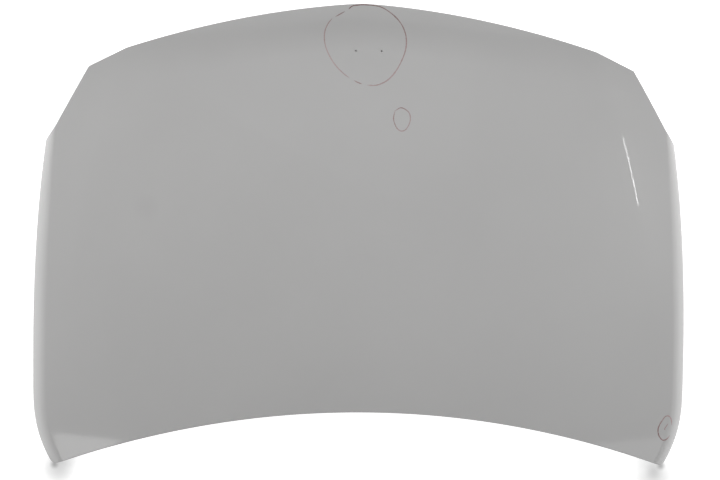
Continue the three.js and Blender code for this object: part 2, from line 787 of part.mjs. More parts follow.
// A bead of mastic on a window's flange, between the frame and the skin
function masticBead(u, v) {
  const stations = [-1, -0.8, -0.3, 0.3, 0.8, 1];
  const sections = stations.map((station) => {
    const narrowing = Math.abs(station) === 1 ? 0.5 : 1;
    const half = BEAD_WIDTH / 2 * narrowing;
    const at = v + station * BEAD_LENGTH / 2;
    const top = SKIN + BEAD_TOP_GAP;
    const bottom = RIM_DEPTH + WINDOW_SEAT_DEPTH - GAP;
    return [
      underSkin(u - half, at, top),
      underSkin(u + half, at, top),
      underSkin(u + half, at, bottom),
      underSkin(u - half, at, bottom),
    ];
  });
  const [a, b, c, d] = sections[0];
  const triangles = [[a, c, b], [a, d, c]];
  for (let k = 0; k + 1 < sections.length; k++) {
    for (let side = 0; side < 4; side++) {
      const next = (side + 1) % 4;
      const [p, q] = [sections[k][side], sections[k][next]];
      const [r, t] = [sections[k + 1][side], sections[k + 1][next]];
      triangles.push([p, t, r], [p, q, t]);
    }
  }
  const [e, f, g, h] = sections.at(-1);
  triangles.push([e, f, g], [e, g, h]);
  return geometryFrom(triangles);
}

// Materials

function material(color, roughness, metalness) {
  return new THREE.MeshStandardMaterial({ color, roughness, metalness });
}

const greyPaint = material(0xaaaaaa, 0.35, 0);
const framePaint = material(0x9c9c9c, 0.6, 0);
const zinc = material(0xb4b1a4, 0.4, 0.9);
const rubber = material(0x1b1b1c, 0.85, 0);
const plastic = material(0x26272a, 0.5, 0);
const mastic = material(0x55534f, 0.8, 0);

// Assembly

const bonnet = new THREE.Group();

function add(name, geometry, finish, x = 0, y = 0, z = 0) {
  const mesh = new THREE.Mesh(geometry, finish);
  mesh.name = name;
  mesh.position.set(x, y, z);
  bonnet.add(mesh);
  return mesh;
}

add('outer_panel', outerSkin(), greyPaint);
add('inner_panel', innerFrame(), framePaint);

for (const { name, sign } of sides) {
  const x = sign * hingeCentre.x;
  const plateZ = HINGE_PAD_Z + GAP;
  add(`hinge_reinforcement_${name}`, plate(HINGE_PLATE, PLATE, hingeHoles), zinc, x, hingeCentre.y, plateZ);
  ['rear', 'front'].forEach((end, k) => {
    add(`hinge_weld_nut_${name}_${end}`, weldNut(), zinc, x, hingeBoltsY[k], plateZ + PLATE + GAP);
  });
}

const strikerPlateZ = STRIKER_PAD_Z + GAP;
const baseTopZ = STRIKER_PAD_Z - SKIN - GAP;
const baseZ = baseTopZ - BASE_THICKNESS;
const strikerY = strikerCentre.y;
add('striker_reinforcement', plate(strikerPlate, PLATE, strikerHoles), zinc, 0, strikerY, strikerPlateZ);
add('striker_base', plate(BASE, BASE_THICKNESS, strikerHoles), zinc, 0, strikerY, baseZ);
add('striker_bow', bow(), zinc, 0, strikerY, baseZ - GAP);
for (const { name, sign } of sides) {
  const x = sign * STRIKER_BOLT_PITCH / 2;
  add(`striker_weld_nut_${name}`, weldNut(), zinc, x, strikerY, strikerPlateZ + PLATE + GAP);
  add(`striker_bolt_${name}`, bolt(), zinc, x, strikerY, baseZ - GAP);
}

for (const { name, u, v } of buffers) {
  add(name, buffer().applyMatrix4(seatMatrix(u, v)), rubber);
}
add('prop_rod_bush', propRodBush().applyMatrix4(seatMatrix(bush.u, bush.v)), plastic);

let beadNumber = 0;
for (const { column, row } of windows) {
  for (const side of [-1, 1]) {
    beadNumber += 1;
    const u = column + side * (SEAT_WIDTH - WINDOW_FLANGE) / 2;
    add(`mastic_bead_${String(beadNumber).padStart(2, '0')}`, masticBead(u, row.centre), mastic);
  }
}

// The origin is under the middle, where the lowest points of the hem stand
bonnet.updateMatrixWorld(true);
const extent = new THREE.Box3().setFromObject(bonnet);
const middle = extent.getCenter(new THREE.Vector3());
bonnet.position.set(-middle.x, -middle.y, -extent.min.z);

export default bonnet;
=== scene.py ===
import math

import bmesh
import bpy
import numpy as np
from mathutils import Matrix, Vector

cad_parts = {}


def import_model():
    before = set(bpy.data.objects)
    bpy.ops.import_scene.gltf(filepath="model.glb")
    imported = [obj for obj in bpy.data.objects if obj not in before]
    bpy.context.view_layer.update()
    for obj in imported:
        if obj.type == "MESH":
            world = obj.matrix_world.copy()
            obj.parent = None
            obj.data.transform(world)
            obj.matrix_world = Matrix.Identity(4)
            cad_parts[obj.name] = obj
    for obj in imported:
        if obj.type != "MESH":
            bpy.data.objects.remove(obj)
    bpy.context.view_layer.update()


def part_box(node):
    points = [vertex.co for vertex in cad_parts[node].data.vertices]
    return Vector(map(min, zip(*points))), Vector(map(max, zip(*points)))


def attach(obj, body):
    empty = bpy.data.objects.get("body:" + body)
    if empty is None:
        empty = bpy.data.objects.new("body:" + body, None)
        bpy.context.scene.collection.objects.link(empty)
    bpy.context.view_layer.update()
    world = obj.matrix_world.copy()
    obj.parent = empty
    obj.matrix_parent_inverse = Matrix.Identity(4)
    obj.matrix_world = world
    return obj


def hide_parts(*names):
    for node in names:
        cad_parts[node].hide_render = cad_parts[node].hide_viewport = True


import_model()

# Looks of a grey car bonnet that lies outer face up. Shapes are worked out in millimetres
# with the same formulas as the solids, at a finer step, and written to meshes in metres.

MM = 0.001
MERGE = 1e-6
LEAST_STEP = 0.2
FRAME_STEP = 6

# Overall plan
HALF_WIDTH = 750
HALF_LENGTH = 531.5
REAR_HOLLOW = 132.5
WIDEST_Y = 176.5 - HALF_LENGTH
REAR_MIDDLE_Y = REAR_HOLLOW - HALF_LENGTH
SPAN = HALF_LENGTH - REAR_MIDDLE_Y

# Front edge
NOSE_BLUNT = 23
FRONT_SWEEP = 0.067
FRONT_BOW = 0.00025

# Corners of the outline
LAMP_START_X = HALF_WIDTH - 210
LAMP_CORNER = np.array([HALF_WIDTH - 126, HALF_LENGTH - 150.5])
SHOULDER_FRONT = np.array([HALF_WIDTH - 52, HALF_LENGTH - 286.5])
SIDE_FRONT = np.array([HALF_WIDTH - 27.7, HALF_LENGTH - 318.5])
REAR_TIP = np.array([HALF_WIDTH - 43.5, -HALF_LENGTH])
TIP_ROUNDING = 12
TIP_PULL = 0.3

# Lines pressed along the car
SHOULDER_U = HALF_WIDTH - 32
CREASE_U = HALF_WIDTH - (210 + 63) / 2
REAR_BEND = 2.5

# Crown and pressed forms
CROWN_Y = -80
RADIUS_ALONG = 2900
RADIUS_ACROSS = 3800
FLANK_DROP = 26
FLANK_POWER = 2
LEAST_FLANK = 8
NOSE_ROLL = 110
NOSE_POWER = 2.2
NOSE_FADE_X = 680
CREASE_SLOPE = 0.06
CREASE_WIDTH = 60
CREASE_ROUNDING = 8
CREASE_FADE_START = -300
CREASE_FADE_LENGTH = 400

# Sheets and hem
SKIN = 0.8
GAP = 0.3
SIDE_HEM = 10
REAR_HEM = 10
FRONT_HEM = 13
SIDE_RIM = SIDE_HEM + 4
REAR_RIM = REAR_HEM + 4
FRONT_RIM = FRONT_HEM + 13
RIM_DEPTH = SKIN + GAP

# Inner frame
BEAM_DEPTH = 22
EDGE_RAMP = 48
WINDOW_WIDTH = 132
WINDOW_FLANGE = 12
WINDOW_SEAT_DEPTH = 3.5
WINDOW_RAMP = 18
WINDOW_RADIUS = 30
SEAT_WIDTH = WINDOW_WIDTH + 2 * WINDOW_FLANGE
BEAM_WIDTH = 42
WINDOW_PITCH = SEAT_WIDTH + 2 * WINDOW_RAMP + BEAM_WIDTH
REAR_BEAM = 38
REAR_BEAM_END = REAR_RIM + EDGE_RAMP + REAR_BEAM
REAR_WINDOW_LENGTH = 276
REAR_SEAT = REAR_WINDOW_LENGTH + 2 * WINDOW_FLANGE
REAR_ROW = REAR_BEAM_END + WINDOW_RAMP + REAR_SEAT / 2
MIDDLE_BEAM_START = REAR_BEAM_END + 2 * WINDOW_RAMP + REAR_SEAT
FRONT_WINDOW_LENGTH = 196
FRONT_SEAT = FRONT_WINDOW_LENGTH + 2 * WINDOW_FLANGE
MIDDLE_BEAM = 40
FRONT_ROW = MIDDLE_BEAM_START + MIDDLE_BEAM + WINDOW_RAMP + FRONT_SEAT / 2
WINDOW_ROWS = [(REAR_ROW, REAR_SEAT), (FRONT_ROW, FRONT_SEAT)]
WINDOW_COLUMNS = [place * WINDOW_PITCH for place in (-2, -1, 0, 1, 2)]
SIDE_BEAM_START = 2 * WINDOW_PITCH + SEAT_WIDTH / 2 + WINDOW_RAMP
SIDE_BEAM_END = HALF_WIDTH - SIDE_RIM - EDGE_RAMP
SIDE_BEAM_MIDDLE = (SIDE_BEAM_START + SIDE_BEAM_END) / 2

# Plates, fasteners and fittings
PLATE = 1.6
HINGE_PLATE = (60, 60, 9)
STRIKER_PLATE = (124, 56, 9)
BASE = (84, 42, 8)
BASE_THICKNESS = 2.5
BOLT_DIAMETER = 8
BOLT_LENGTH = 18
BOLT_HEAD = 13
BOLT_HEAD_HEIGHT = 6
BOLT_HOLE = 9
THREAD_START = 3.0
THREAD_PITCH = 1.25
THREAD_DEPTH = 0.55
NUT_WIDTH = 14
NUT_HEIGHT = 6.5
HINGE_BOLT_PITCH = 40
STRIKER_BOLT_PITCH = 62
BOW_WIRE = 8
BOW_WIDTH = 32
BOW_HEIGHT = 34
WIRE_SIDES = 28
WELD_SWELL = 1.7
WELD_HEIGHT = 3.0
BUFFER_HEAD = 22
BUFFER_HEIGHT = 11
BUFFER_NECK = 9
BUFFER_BARB = 13
BUFFER_HOLE = 10
BUSH_BORE = 11
BUSH_FLANGE = 24
BUSH_BARREL = 17
BUSH_HOLE = 18
BUSH_HEIGHT = 10
SEAT_GAP = 0.6
BEAD_LENGTH = 64
BEAD_WIDTH = 8
BEAD_TOP_GAP = 0.7
BEAD_UNEVEN = 0.5
BEAD_STATIONS = 15
BEAD_SIDES = 16
HEX_BEVEL = 0.9
HEX_CORNERS = 1.13
PLATE_BEVEL = 0.35
BADGE_HOLE = 3.6
BADGE_FROM_NOSE = 111.5
BADGE_HOLES = [(x, HALF_LENGTH - BADGE_FROM_NOSE) for x in (-17.5, 41)]

# Level pads: middle u, middle v, width, length, height
HINGE_PAD_LENGTH = 88
STRIKER_PAD_LENGTH = 70
HINGE_V = REAR_RIM + EDGE_RAMP + HINGE_PAD_LENGTH / 2
STRIKER_PAD_FROM_NOSE = 100
STRIKER_V = SPAN - STRIKER_PAD_FROM_NOSE - STRIKER_PAD_LENGTH / 2
HINGE_PAD = (SIDE_BEAM_MIDDLE, HINGE_V, SIDE_BEAM_END - SIDE_BEAM_START, HINGE_PAD_LENGTH, 30)
STRIKER_PAD = (0, STRIKER_V, SEAT_WIDTH, STRIKER_PAD_LENGTH, 54)
PAD_RAMP = 14

# Camera that matches the photograph, in the frame of the solids
FOCAL_PIXELS = 2408
PICTURE_WIDTH = 720
CAMERA_TILT = 92.0
CAMERA_TURN = -2.25
CAMERA_ROLL = 0.39
CAMERA_AIM = (-3.7, -11.1, 62.4)
CAMERA_DISTANCE = 5500


def mix(a, b, share):
    return a + (b - a) * share


def smooth(share):
    share = np.clip(share, 0, 1)
    return share * share * (3 - 2 * share)


def unit(vectors):
    return vectors / np.linalg.norm(vectors, axis=-1, keepdims=True)


# Outline and lines along the car

def front_y(x):
    reach = np.hypot(x, NOSE_BLUNT) - NOSE_BLUNT
    return HALF_LENGTH - FRONT_SWEEP * reach - FRONT_BOW * x * x


def rear_y(x):
    return REAR_MIDDLE_Y - REAR_HOLLOW * (x / REAR_TIP[0]) ** 2


def rear_foot(inset):
    x = HALF_WIDTH - inset
    return np.array([x, rear_y(x)])


LAMP_START = np.array([LAMP_START_X, front_y(LAMP_START_X)])
LAMP_FIRST = np.linalg.norm(LAMP_CORNER - LAMP_START)
LAMP_SECOND = np.linalg.norm(SHOULDER_FRONT - LAMP_CORNER)
LAMP_SHARE = LAMP_FIRST / (LAMP_FIRST + LAMP_SECOND)
LAMP_CORNER_U = mix(CREASE_U, SHOULDER_U, LAMP_SHARE)
# Each line: widest x, front end, rear end, power of its front bend
SIDE_EDGE = (HALF_WIDTH, SIDE_FRONT, REAR_TIP, 2.6)
SHOULDER = (SHOULDER_U, SHOULDER_FRONT, rear_foot(70), 2.0)
CREASE = (HALF_WIDTH - 63, LAMP_START, rear_foot(105), 1.7)


def line_x(line, y):
    widest, front, rear, bend = line
    ahead = np.maximum(0, (y - WIDEST_Y) / (front[1] - WIDEST_Y))
    behind = np.maximum(0, (WIDEST_Y - y) / (WIDEST_Y - rear[1]))
    return widest - (widest - front[0]) * ahead ** bend - (widest - rear[0]) * behind ** REAR_BEND


def on_line(line, t):
    y = mix(line[2][1], line[1][1], t)
    return np.stack([line_x(line, y), y], -1)


def on_middle(t):
    return np.stack([0 * t, mix(REAR_MIDDLE_Y, HALF_LENGTH, t)], -1)


def on_nose(s):
    x = LAMP_START[0] * s
    return np.stack([x, front_y(x)], -1)


def on_lamp_edge(s):
    before = mix(LAMP_START, LAMP_CORNER, np.clip(s / LAMP_SHARE, 0, 1)[..., None])
    past = np.clip((s - LAMP_SHARE) / (1 - LAMP_SHARE), 0, 1)[..., None]
    return before + (SHOULDER_FRONT - LAMP_CORNER) * past


def on_flank_front(s):
    return mix(SHOULDER_FRONT, SIDE_FRONT, s[..., None])


# Each strip: inner and outer u, its two lines along the car, and its front end
STRIPS = [
    (0, CREASE_U, on_middle, lambda t: on_line(CREASE, t), on_nose),
    (CREASE_U, SHOULDER_U, lambda t: on_line(CREASE, t), lambda t: on_line(SHOULDER, t), on_lamp_edge),
    (SHOULDER_U, HALF_WIDTH, lambda t: on_line(SHOULDER, t), lambda t: on_line(SIDE_EDGE, t),
     on_flank_front),
]


def in_strip(strip, across, t):
    """Place in one strip, blended from its four edges."""
    start, end, left, right, front = strip
    s = np.clip((across - start) / (end - start), 0, 1)
    zero, one = 0 * t, 0 * t + 1
    x = mix(left(zero)[..., 0], right(zero)[..., 0], s)
    rear_edge = np.stack([x, rear_y(x)], -1)
    share, along = s[..., None], t[..., None]
    point = mix(left(t), right(t), share) + mix(rear_edge, front(s), along)
    rear_chord = mix(left(zero), right(zero), share)
    front_chord = mix(left(one), right(one), share)
    return point - mix(rear_chord, front_chord, along)


def plan(u, v):
    """Plan place of a point u across and v along the panel."""
    u, v = np.broadcast_arrays(np.asarray(u, float), np.asarray(v, float))
    across, t = np.abs(u), v / SPAN
    point = in_strip(STRIPS[2], across, t)
    for strip in (STRIPS[1], STRIPS[0]):
        inside = (across <= strip[1])[..., None]
        point = np.where(inside, in_strip(strip, across, t), point)
    from_side = np.clip(1 - (HALF_WIDTH - across) / TIP_ROUNDING, 0, 1)
    from_rear = np.clip(1 - v / TIP_ROUNDING, 0, 1)
    pull = TIP_PULL * TIP_ROUNDING * (from_side * from_rear) ** 2 * math.sqrt(0.5)
    return np.sign(u) * (point[..., 0] - pull), point[..., 1] + pull


# Height of the outer face

def crown_sag(x, y):
    return (y - CROWN_Y) ** 2 / (2 * RADIUS_ALONG) + x * x / (2 * RADIUS_ACROSS)


CROWN_Z = crown_sag(*REAR_TIP) + FLANK_DROP
NOSE_DROP = CROWN_Z - crown_sag(0, HALF_LENGTH)


def skin_height(x, y):
    x = np.abs(x)
    start = line_x(SHOULDER, y)
    width = np.maximum(line_x(SIDE_EDGE, y) - start, LEAST_FLANK)
    flank = FLANK_DROP * np.clip((x - start) / width, 0, 1) ** FLANK_POWER
    depth = NOSE_DROP * np.clip(1 - (x / NOSE_FADE_X) ** 2, 0, 1)
    nose = depth * np.clip(1 - (front_y(x) - y) / NOSE_ROLL, 0, 1) ** NOSE_POWER
    past = x - line_x(CREASE, y)
    reach = np.minimum((past + np.hypot(past, CREASE_ROUNDING)) / 2, CREASE_WIDTH)
    fade = np.clip((y - CREASE_FADE_START) / CREASE_FADE_LENGTH, 0, 1)
    crease = fade * CREASE_SLOPE * (reach - reach ** 2 / (2 * CREASE_WIDTH))
    return CROWN_Z - crown_sag(x, y) - flank - nose - crease


def skin_normal(x, y, step=1.0):
    slope_x = (skin_height(x + step, y) - skin_height(x - step, y)) / (2 * step)
    slope_y = (skin_height(x, y + step) - skin_height(x, y - step)) / (2 * step)
    normal = np.stack([-slope_x, -slope_y, np.ones_like(slope_x)], -1)
    return unit(normal)


def under_skin(u, v, depth, drop=0.0):
    x, y = plan(u, v)
    point = np.stack([x, y, skin_height(x, y)], -1) - skin_normal(x, y) * depth
    point[..., 2] -= drop
    return point


# Inner frame

def outside_box(u, v, middle_u, middle_v, width, length, radius=0.0):
    past_u = np.abs(u - middle_u) - width / 2 + radius
    past_v = np.abs(v - middle_v) - length / 2 + radius
    outside = np.hypot(np.maximum(past_u, 0), np.maximum(past_v, 0))
    return outside + np.minimum(np.maximum(past_u, past_v), 0) - radius


def frame_drop(u, v):
    across = np.abs(u)
    from_side = HALF_WIDTH - SIDE_RIM - across
    from_edge = np.minimum(from_side, np.minimum(v - REAR_RIM, SPAN - FRONT_RIM - v))
    drop = BEAM_DEPTH * smooth(from_edge / EDGE_RAMP)
    for row, length in WINDOW_ROWS:
        for column in WINDOW_COLUMNS:
            away = outside_box(u, v, column, row, SEAT_WIDTH, length, WINDOW_RADIUS)
            drop = np.minimum(drop, mix(WINDOW_SEAT_DEPTH, BEAM_DEPTH, smooth(away / WINDOW_RAMP)))
    return drop


def frame_point(u, v):
    u, v = np.broadcast_arrays(np.asarray(u, float), np.asarray(v, float))
    point = under_skin(u, v, RIM_DEPTH, frame_drop(u, v))
    for middle_u, middle_v, width, length, z in (HINGE_PAD, STRIKER_PAD):
        away = outside_box(np.abs(u), v, middle_u, middle_v, width, length)
        point[..., 2] = mix(z, point[..., 2], smooth(away / PAD_RAMP))
    return point


def frame_normal(u, v, step=2.0):
    across = frame_point(u + step, v) - frame_point(u - step, v)
    along = frame_point(u, v + step) - frame_point(u, v - step)
    normal = np.cross(across, along)
    return unit(normal)


# Places of the fittings

def plan_point(u, v):
    x, y = plan(u, v)
    return np.array([float(x), float(y)])


HINGE_CENTRE = (plan_point(SIDE_BEAM_START, HINGE_V) + plan_point(SIDE_BEAM_END, HINGE_V)) / 2
HINGE_BOLTS_Y = [HINGE_CENTRE[1] + end * HINGE_BOLT_PITCH / 2 for end in (-1, 1)]
HINGE_PAD_Z = HINGE_PAD[4]
STRIKER_PAD_Z = STRIKER_PAD[4]
STRIKER_Y = plan_point(0, STRIKER_V)[1]
BASE_TOP_Z = STRIKER_PAD_Z - SKIN - GAP
BASE_Z = BASE_TOP_Z - BASE_THICKNESS
NUT_LIFT = GAP + PLATE + GAP
FRONT_BEAM_START = FRONT_ROW + FRONT_SEAT / 2 + WINDOW_RAMP
FRONT_BEAM_V = (FRONT_BEAM_START + SPAN - FRONT_RIM - EDGE_RAMP) / 2
MIDDLE_BEAM_V = MIDDLE_BEAM_START + MIDDLE_BEAM / 2
SIDES = [("left", -1), ("right", 1)]
BUFFERS = [place for name, sign in SIDES for place in (
    (f"front_buffer_{name}", sign * WINDOW_COLUMNS[-1], FRONT_BEAM_V),
    (f"side_buffer_{name}", sign * SIDE_BEAM_MIDDLE, MIDDLE_BEAM_V),
)]
BUSH = (SIDE_BEAM_MIDDLE, FRONT_ROW)


# Where the solids stand: the same shift for every mesh here

def rest_shift():
    low, high = (np.array(corner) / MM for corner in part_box("striker_base"))
    return np.array([0, (low[1] + high[1]) / 2 - STRIKER_Y, high[2] - BASE_TOP_Z])


SHIFT = rest_shift()


# Meshes

def fill_mesh(name, points, faces, material_index=None):
    mesh = bpy.data.meshes.new(name)
    mesh.from_pydata([tuple(p) for p in (np.asarray(points, float) + SHIFT) * MM], [], faces)
    if material_index is not None:
        mesh.polygons.foreach_set("material_index", material_index)
    return mesh


def clean(mesh):
    work = bmesh.new()
    work.from_mesh(mesh)
    bmesh.ops.remove_doubles(work, verts=work.verts, dist=MERGE)
    bmesh.ops.dissolve_degenerate(work, dist=MERGE, edges=work.edges)
    bmesh.ops.recalc_face_normals(work, faces=work.faces)
    work.to_mesh(mesh)
    work.free()


def keep_values(mesh, name, values):
    """Keeps a value for each point on the mesh, for its material."""
    mesh.attributes.new(name, "FLOAT", "POINT").data.foreach_set("value", values)


def show(name, mesh):
    piece = bpy.data.objects.new(name, mesh)
    bpy.context.scene.collection.objects.link(piece)
    return piece


def shade(piece, sharp_angle=32):
    mesh = piece.data
    mesh.polygons.foreach_set("use_smooth", [True] * len(mesh.polygons))
    mesh.set_sharp_from_angle(angle=math.radians(sharp_angle))


def combine(parts):
    """Joins lists of points and faces into one pair."""
    points, faces = [], []
    for some_points, some_faces in parts:
        start = len(points)
        points.extend(some_points)
        faces.extend([index + start for index in face] for face in some_faces)
    return points, faces


def make_piece(name, part, material, node, matrix=None, sharp_angle=32):
    points, faces = part
    if matrix is not None:
        points = [tuple(matrix @ Vector(p)) for p in points]
    mesh = fill_mesh(name, points, faces)
    clean(mesh)
    piece = show(name, mesh)
    shade(piece, sharp_angle)
    dress(piece, material)
    if node:
        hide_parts(node)
    return piece


def dress(piece, material):
    piece.data.materials.append(material)
    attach(piece, "root")


def rim_places(columns, rows):
    """An index that picks the rim of a grid, once round."""
    bottom = [(0, i) for i in range(columns - 1)]
    right = [(j, columns - 1) for j in range(rows - 1)]
    top = [(rows - 1, i) for i in range(columns - 1, 0, -1)]
    left = [(j, 0) for j in range(rows - 1, 0, -1)]
    return tuple(np.array(bottom + right + top + left).T)


def loop_faces(first, second):
    """Quads between two closed loops of point numbers."""
    return np.stack([first, second, np.roll(second, -1), np.roll(first, -1)], -1)


def tube(points, sides, closed=False, caps=False):
    """Points in loops one after another, with quads along them, round to the first if closed."""
    loops = list(np.arange(len(points)).reshape(-1, sides))
    pairs = zip(loops, loops[1:] + loops[:1] if closed else loops[1:])
    faces = [face for low, high in pairs for face in loop_faces(low, high).tolist()]
    if caps:
        faces += [loops[0].tolist(), loops[-1].tolist()[::-1]]
    return points, faces


def sheet_faces(columns, rows, rim, ring_count):
    """Quads of an upper grid, a lower grid and the rings that join their rims."""
    index = np.arange(columns * rows).reshape(rows, columns)
    corners = [index[:-1, :-1], index[:-1, 1:], index[1:, 1:], index[1:, :-1]]
    upper = np.stack(corners, -1).reshape(-1, 4)
    lower = upper[:, ::-1] + columns * rows
    rim_top = index[rim]
    start = 2 * columns * rows
    rings = [start + k * len(rim_top) + np.arange(len(rim_top)) for k in range(ring_count)]
    loops = [rim_top] + rings + [rim_top + columns * rows]
    return upper, lower, [loop_faces(high, low) for high, low in zip(loops, loops[1:])]


def spread(stops, step):
    """Values through every stop, at most one step apart."""
    values = []
    for start, end in zip(stops, stops[1:]):
        count = max(1, math.ceil((end - start) / step - 1e-6))
        values.extend(np.linspace(start, end, count, endpoint=False))
    return np.array(values + [stops[-1]])


def merged(*lists):
    values = np.unique(np.concatenate(lists).round(4))
    keep = np.append(True, np.diff(values) > LEAST_STEP)
    return values[keep]


def mirrored(values):
    return np.unique(np.concatenate([-values, values]))


# Skin with its hem

FOLD_STEPS = 8


def outer_lines():
    """Grid lines of the skin, closer where it bends."""
    near, fine = 24, 6
    u = merged(
        spread([0, CREASE_U - near], 9.5),
        spread([CREASE_U - near, CREASE_U - fine], 3),
        spread([CREASE_U - fine, CREASE_U, CREASE_U + fine], 1.2),
        spread([CREASE_U + fine, CREASE_U + near, LAMP_CORNER_U], 4),
        spread([LAMP_CORNER_U, SHOULDER_U - 2 * fine], 5),
        spread([SHOULDER_U - 2 * fine, SHOULDER_U, SHOULDER_U + fine], 1.0),
        spread([SHOULDER_U + fine, HALF_WIDTH - TIP_ROUNDING, HALF_WIDTH], 1.8),
    )
    roll_start = SPAN - NOSE_ROLL - 30
    v = merged(
        spread([0, TIP_ROUNDING], 1.8),
        spread([TIP_ROUNDING, roll_start], 9),
        spread([roll_start, SPAN - FRONT_HEM], 4),
        spread([SPAN - FRONT_HEM, SPAN], 2.6),
    )
    return mirrored(u), v


def hem_rings(rim_u, rim_v):
    """Loops round the fold, in along the hem's outer side, and back along its inner side."""
    face = under_skin(rim_u, rim_v, 0)
    inner_u = np.clip(rim_u, SIDE_HEM - HALF_WIDTH, HALF_WIDTH - SIDE_HEM)
    inner_v = np.clip(rim_v, REAR_HEM, SPAN - FRONT_HEM)
    tangent = unit(np.roll(face, -1, 0) - np.roll(face, 1, 0))
    outward = face - under_skin(inner_u, inner_v, 0)
    outward = unit(outward - tangent * np.sum(outward * tangent, 1, keepdims=True))
    normal = skin_normal(*plan(rim_u, rim_v))
    fold_depth = SKIN + GAP + SKIN / 2

    def fold(radius, angle):
        return face + outward * radius * math.cos(angle) + normal * (radius * math.sin(angle) - fold_depth)

    def flange(share, depth):
        return under_skin(mix(rim_u, inner_u, share), mix(rim_v, inner_v, share), depth)

    large, small = fold_depth, fold_depth - SKIN
    angles = np.linspace(math.pi / 2, -math.pi / 2, FOLD_STEPS + 1)
    rings = [fold(large, angle) for angle in angles[1:]]
    rings += [flange(share, fold_depth + large) for share in (0.33, 0.66, 0.96)]
    rings += [flange(1.0, fold_depth + mix(small, large, 0.5))]
    rings += [flange(share, fold_depth + small) for share in (0.96, 0.5)]
    rings += [fold(small, angle) for angle in angles[::-1][:-1]]
    return rings


def outer_panel():
    u, v = outer_lines()
    grid_u, grid_v = np.meshgrid(u, v)
    rim = rim_places(len(u), len(v))
    rings = hem_rings(grid_u[rim], grid_v[rim])
    upper = under_skin(grid_u, grid_v, 0).reshape(-1, 3)
    lower = under_skin(grid_u, grid_v, SKIN).reshape(-1, 3)
    upper_faces, lower_faces, ring_faces = sheet_faces(len(u), len(v), rim, len(rings))
    faces = np.concatenate([upper_faces, lower_faces] + ring_faces)
    inside = np.zeros(len(faces), int)
    inside[len(upper_faces):2 * len(upper_faces)] = 1
    mesh = fill_mesh("bonnet_skin", np.concatenate([upper, lower] + rings), faces.tolist(), inside)
    values = np.zeros(len(mesh.vertices))
    values[2 * len(upper):2 * len(upper) + (FOLD_STEPS + 1) * len(rings[0])] = 1
    keep_values(mesh, "rim", values)
    clean(mesh)
    return show("bonnet_skin", mesh)


# Inner frame

def seat_ends(middle, length):
    """Both ends of a window's seat and of the ramp round it."""
    return {middle + side * reach for side in (-1, 1) for reach in (length / 2, length / 2 + WINDOW_RAMP)}


def frame_lines():
    u_stops = {0, HALF_WIDTH - SIDE_RIM, HALF_WIDTH - SIDE_HEM, HALF_WIDTH, SIDE_BEAM_END}
    for column in WINDOW_COLUMNS[2:]:
        u_stops |= {abs(end) for end in seat_ends(column, SEAT_WIDTH)}
    v_stops = {0, REAR_HEM, REAR_RIM, REAR_RIM + EDGE_RAMP, SPAN - FRONT_RIM - EDGE_RAMP}
    v_stops |= {SPAN - FRONT_RIM, SPAN - FRONT_HEM, SPAN}
    for row, length in WINDOW_ROWS:
        v_stops |= seat_ends(row, length)
    u = merged(spread(sorted(u_stops), FRAME_STEP), [LAMP_CORNER_U, CREASE_U, SHOULDER_U])
    return mirrored(u), spread(sorted(v_stops), FRAME_STEP)


def inner_panel():
    u, v = frame_lines()
    grid_u, grid_v = np.meshgrid(u, v)
    rim = rim_places(len(u), len(v))
    upper = frame_point(grid_u, grid_v)
    normal = frame_normal(grid_u, grid_v)
    edge = np.zeros(grid_u.shape, bool)
    edge[rim] = True
    normal[edge] = skin_normal(*plan(grid_u[edge], grid_v[edge]))
    lower = upper - normal * SKIN
    upper_faces, lower_faces, ring_faces = sheet_faces(len(u), len(v), rim, 0)
    faces = np.concatenate([upper_faces, lower_faces] + ring_faces).tolist()
    mesh = fill_mesh("bonnet_frame", np.concatenate([upper.reshape(-1, 3), lower.reshape(-1, 3)]), faces)
    clean(mesh)
    return show("bonnet_frame", mesh)


# A bead of sealer over the inner edge of the hem: inset and depth of each corner of its section
SEALER_SECTION = [(8.4, 3.0), (9.0, 3.5), (10.3, 3.7), (11.8, 3.2),
                  (13.0, 2.4), (13.4, 1.95), (10.2, 1.95), (10.2, 3.0)]


def sealer():
    u, v = outer_lines()
    grid_u, grid_v = np.meshgrid(u[::2], v[::2])
    rim = rim_places(*grid_u.shape[::-1])
    rim_u, rim_v = grid_u[rim], grid_v[rim]
    front_share = FRONT_HEM / SIDE_HEM
    loops = []
    for inset, depth in SEALER_SECTION:
        inner_u = np.clip(rim_u, inset - HALF_WIDTH, HALF_WIDTH - inset)
        inner_v = np.clip(rim_v, inset, SPAN - inset * front_share)
        loops.append(under_skin(inner_u, inner_v, depth))
    return tube(np.concatenate(loops).tolist(), len(rim_u), closed=True)


# Turned and flat pieces

def circle(radius, steps=48, x=0.0, y=0.0):
    angles = [2 * math.pi * k / steps for k in range(steps)]
    return [(x + radius * math.cos(a), y + radius * math.sin(a)) for a in angles]


def soften(profile, radius, steps=4, closed=False):
    """Rounds the corners of a profile with short curves."""
    points = [Vector(p) for p in profile]
    rounded = []
    for k, point in enumerate(points):
        if not closed and k in (0, len(points) - 1):
            rounded.append(point)
            continue
        before, after = points[k - 1], points[(k + 1) % len(points)]
        reach = min(radius, (before - point).length / 2.2, (after - point).length / 2.2)
        start = point + (before - point).normalized() * reach
        end = point + (after - point).normalized() * reach
        for step in range(steps + 1):
            share = step / steps
            rounded.append(start.lerp(point, share).lerp(point.lerp(end, share), share))
    return rounded


def lathe(profile, steps=48, closed=False):
    """Turns a profile of radius and height pairs round the Z axis."""
    points = [(x, y, z) for radius, z in profile for x, y in circle(radius, steps)]
    return tube(points, steps, closed)


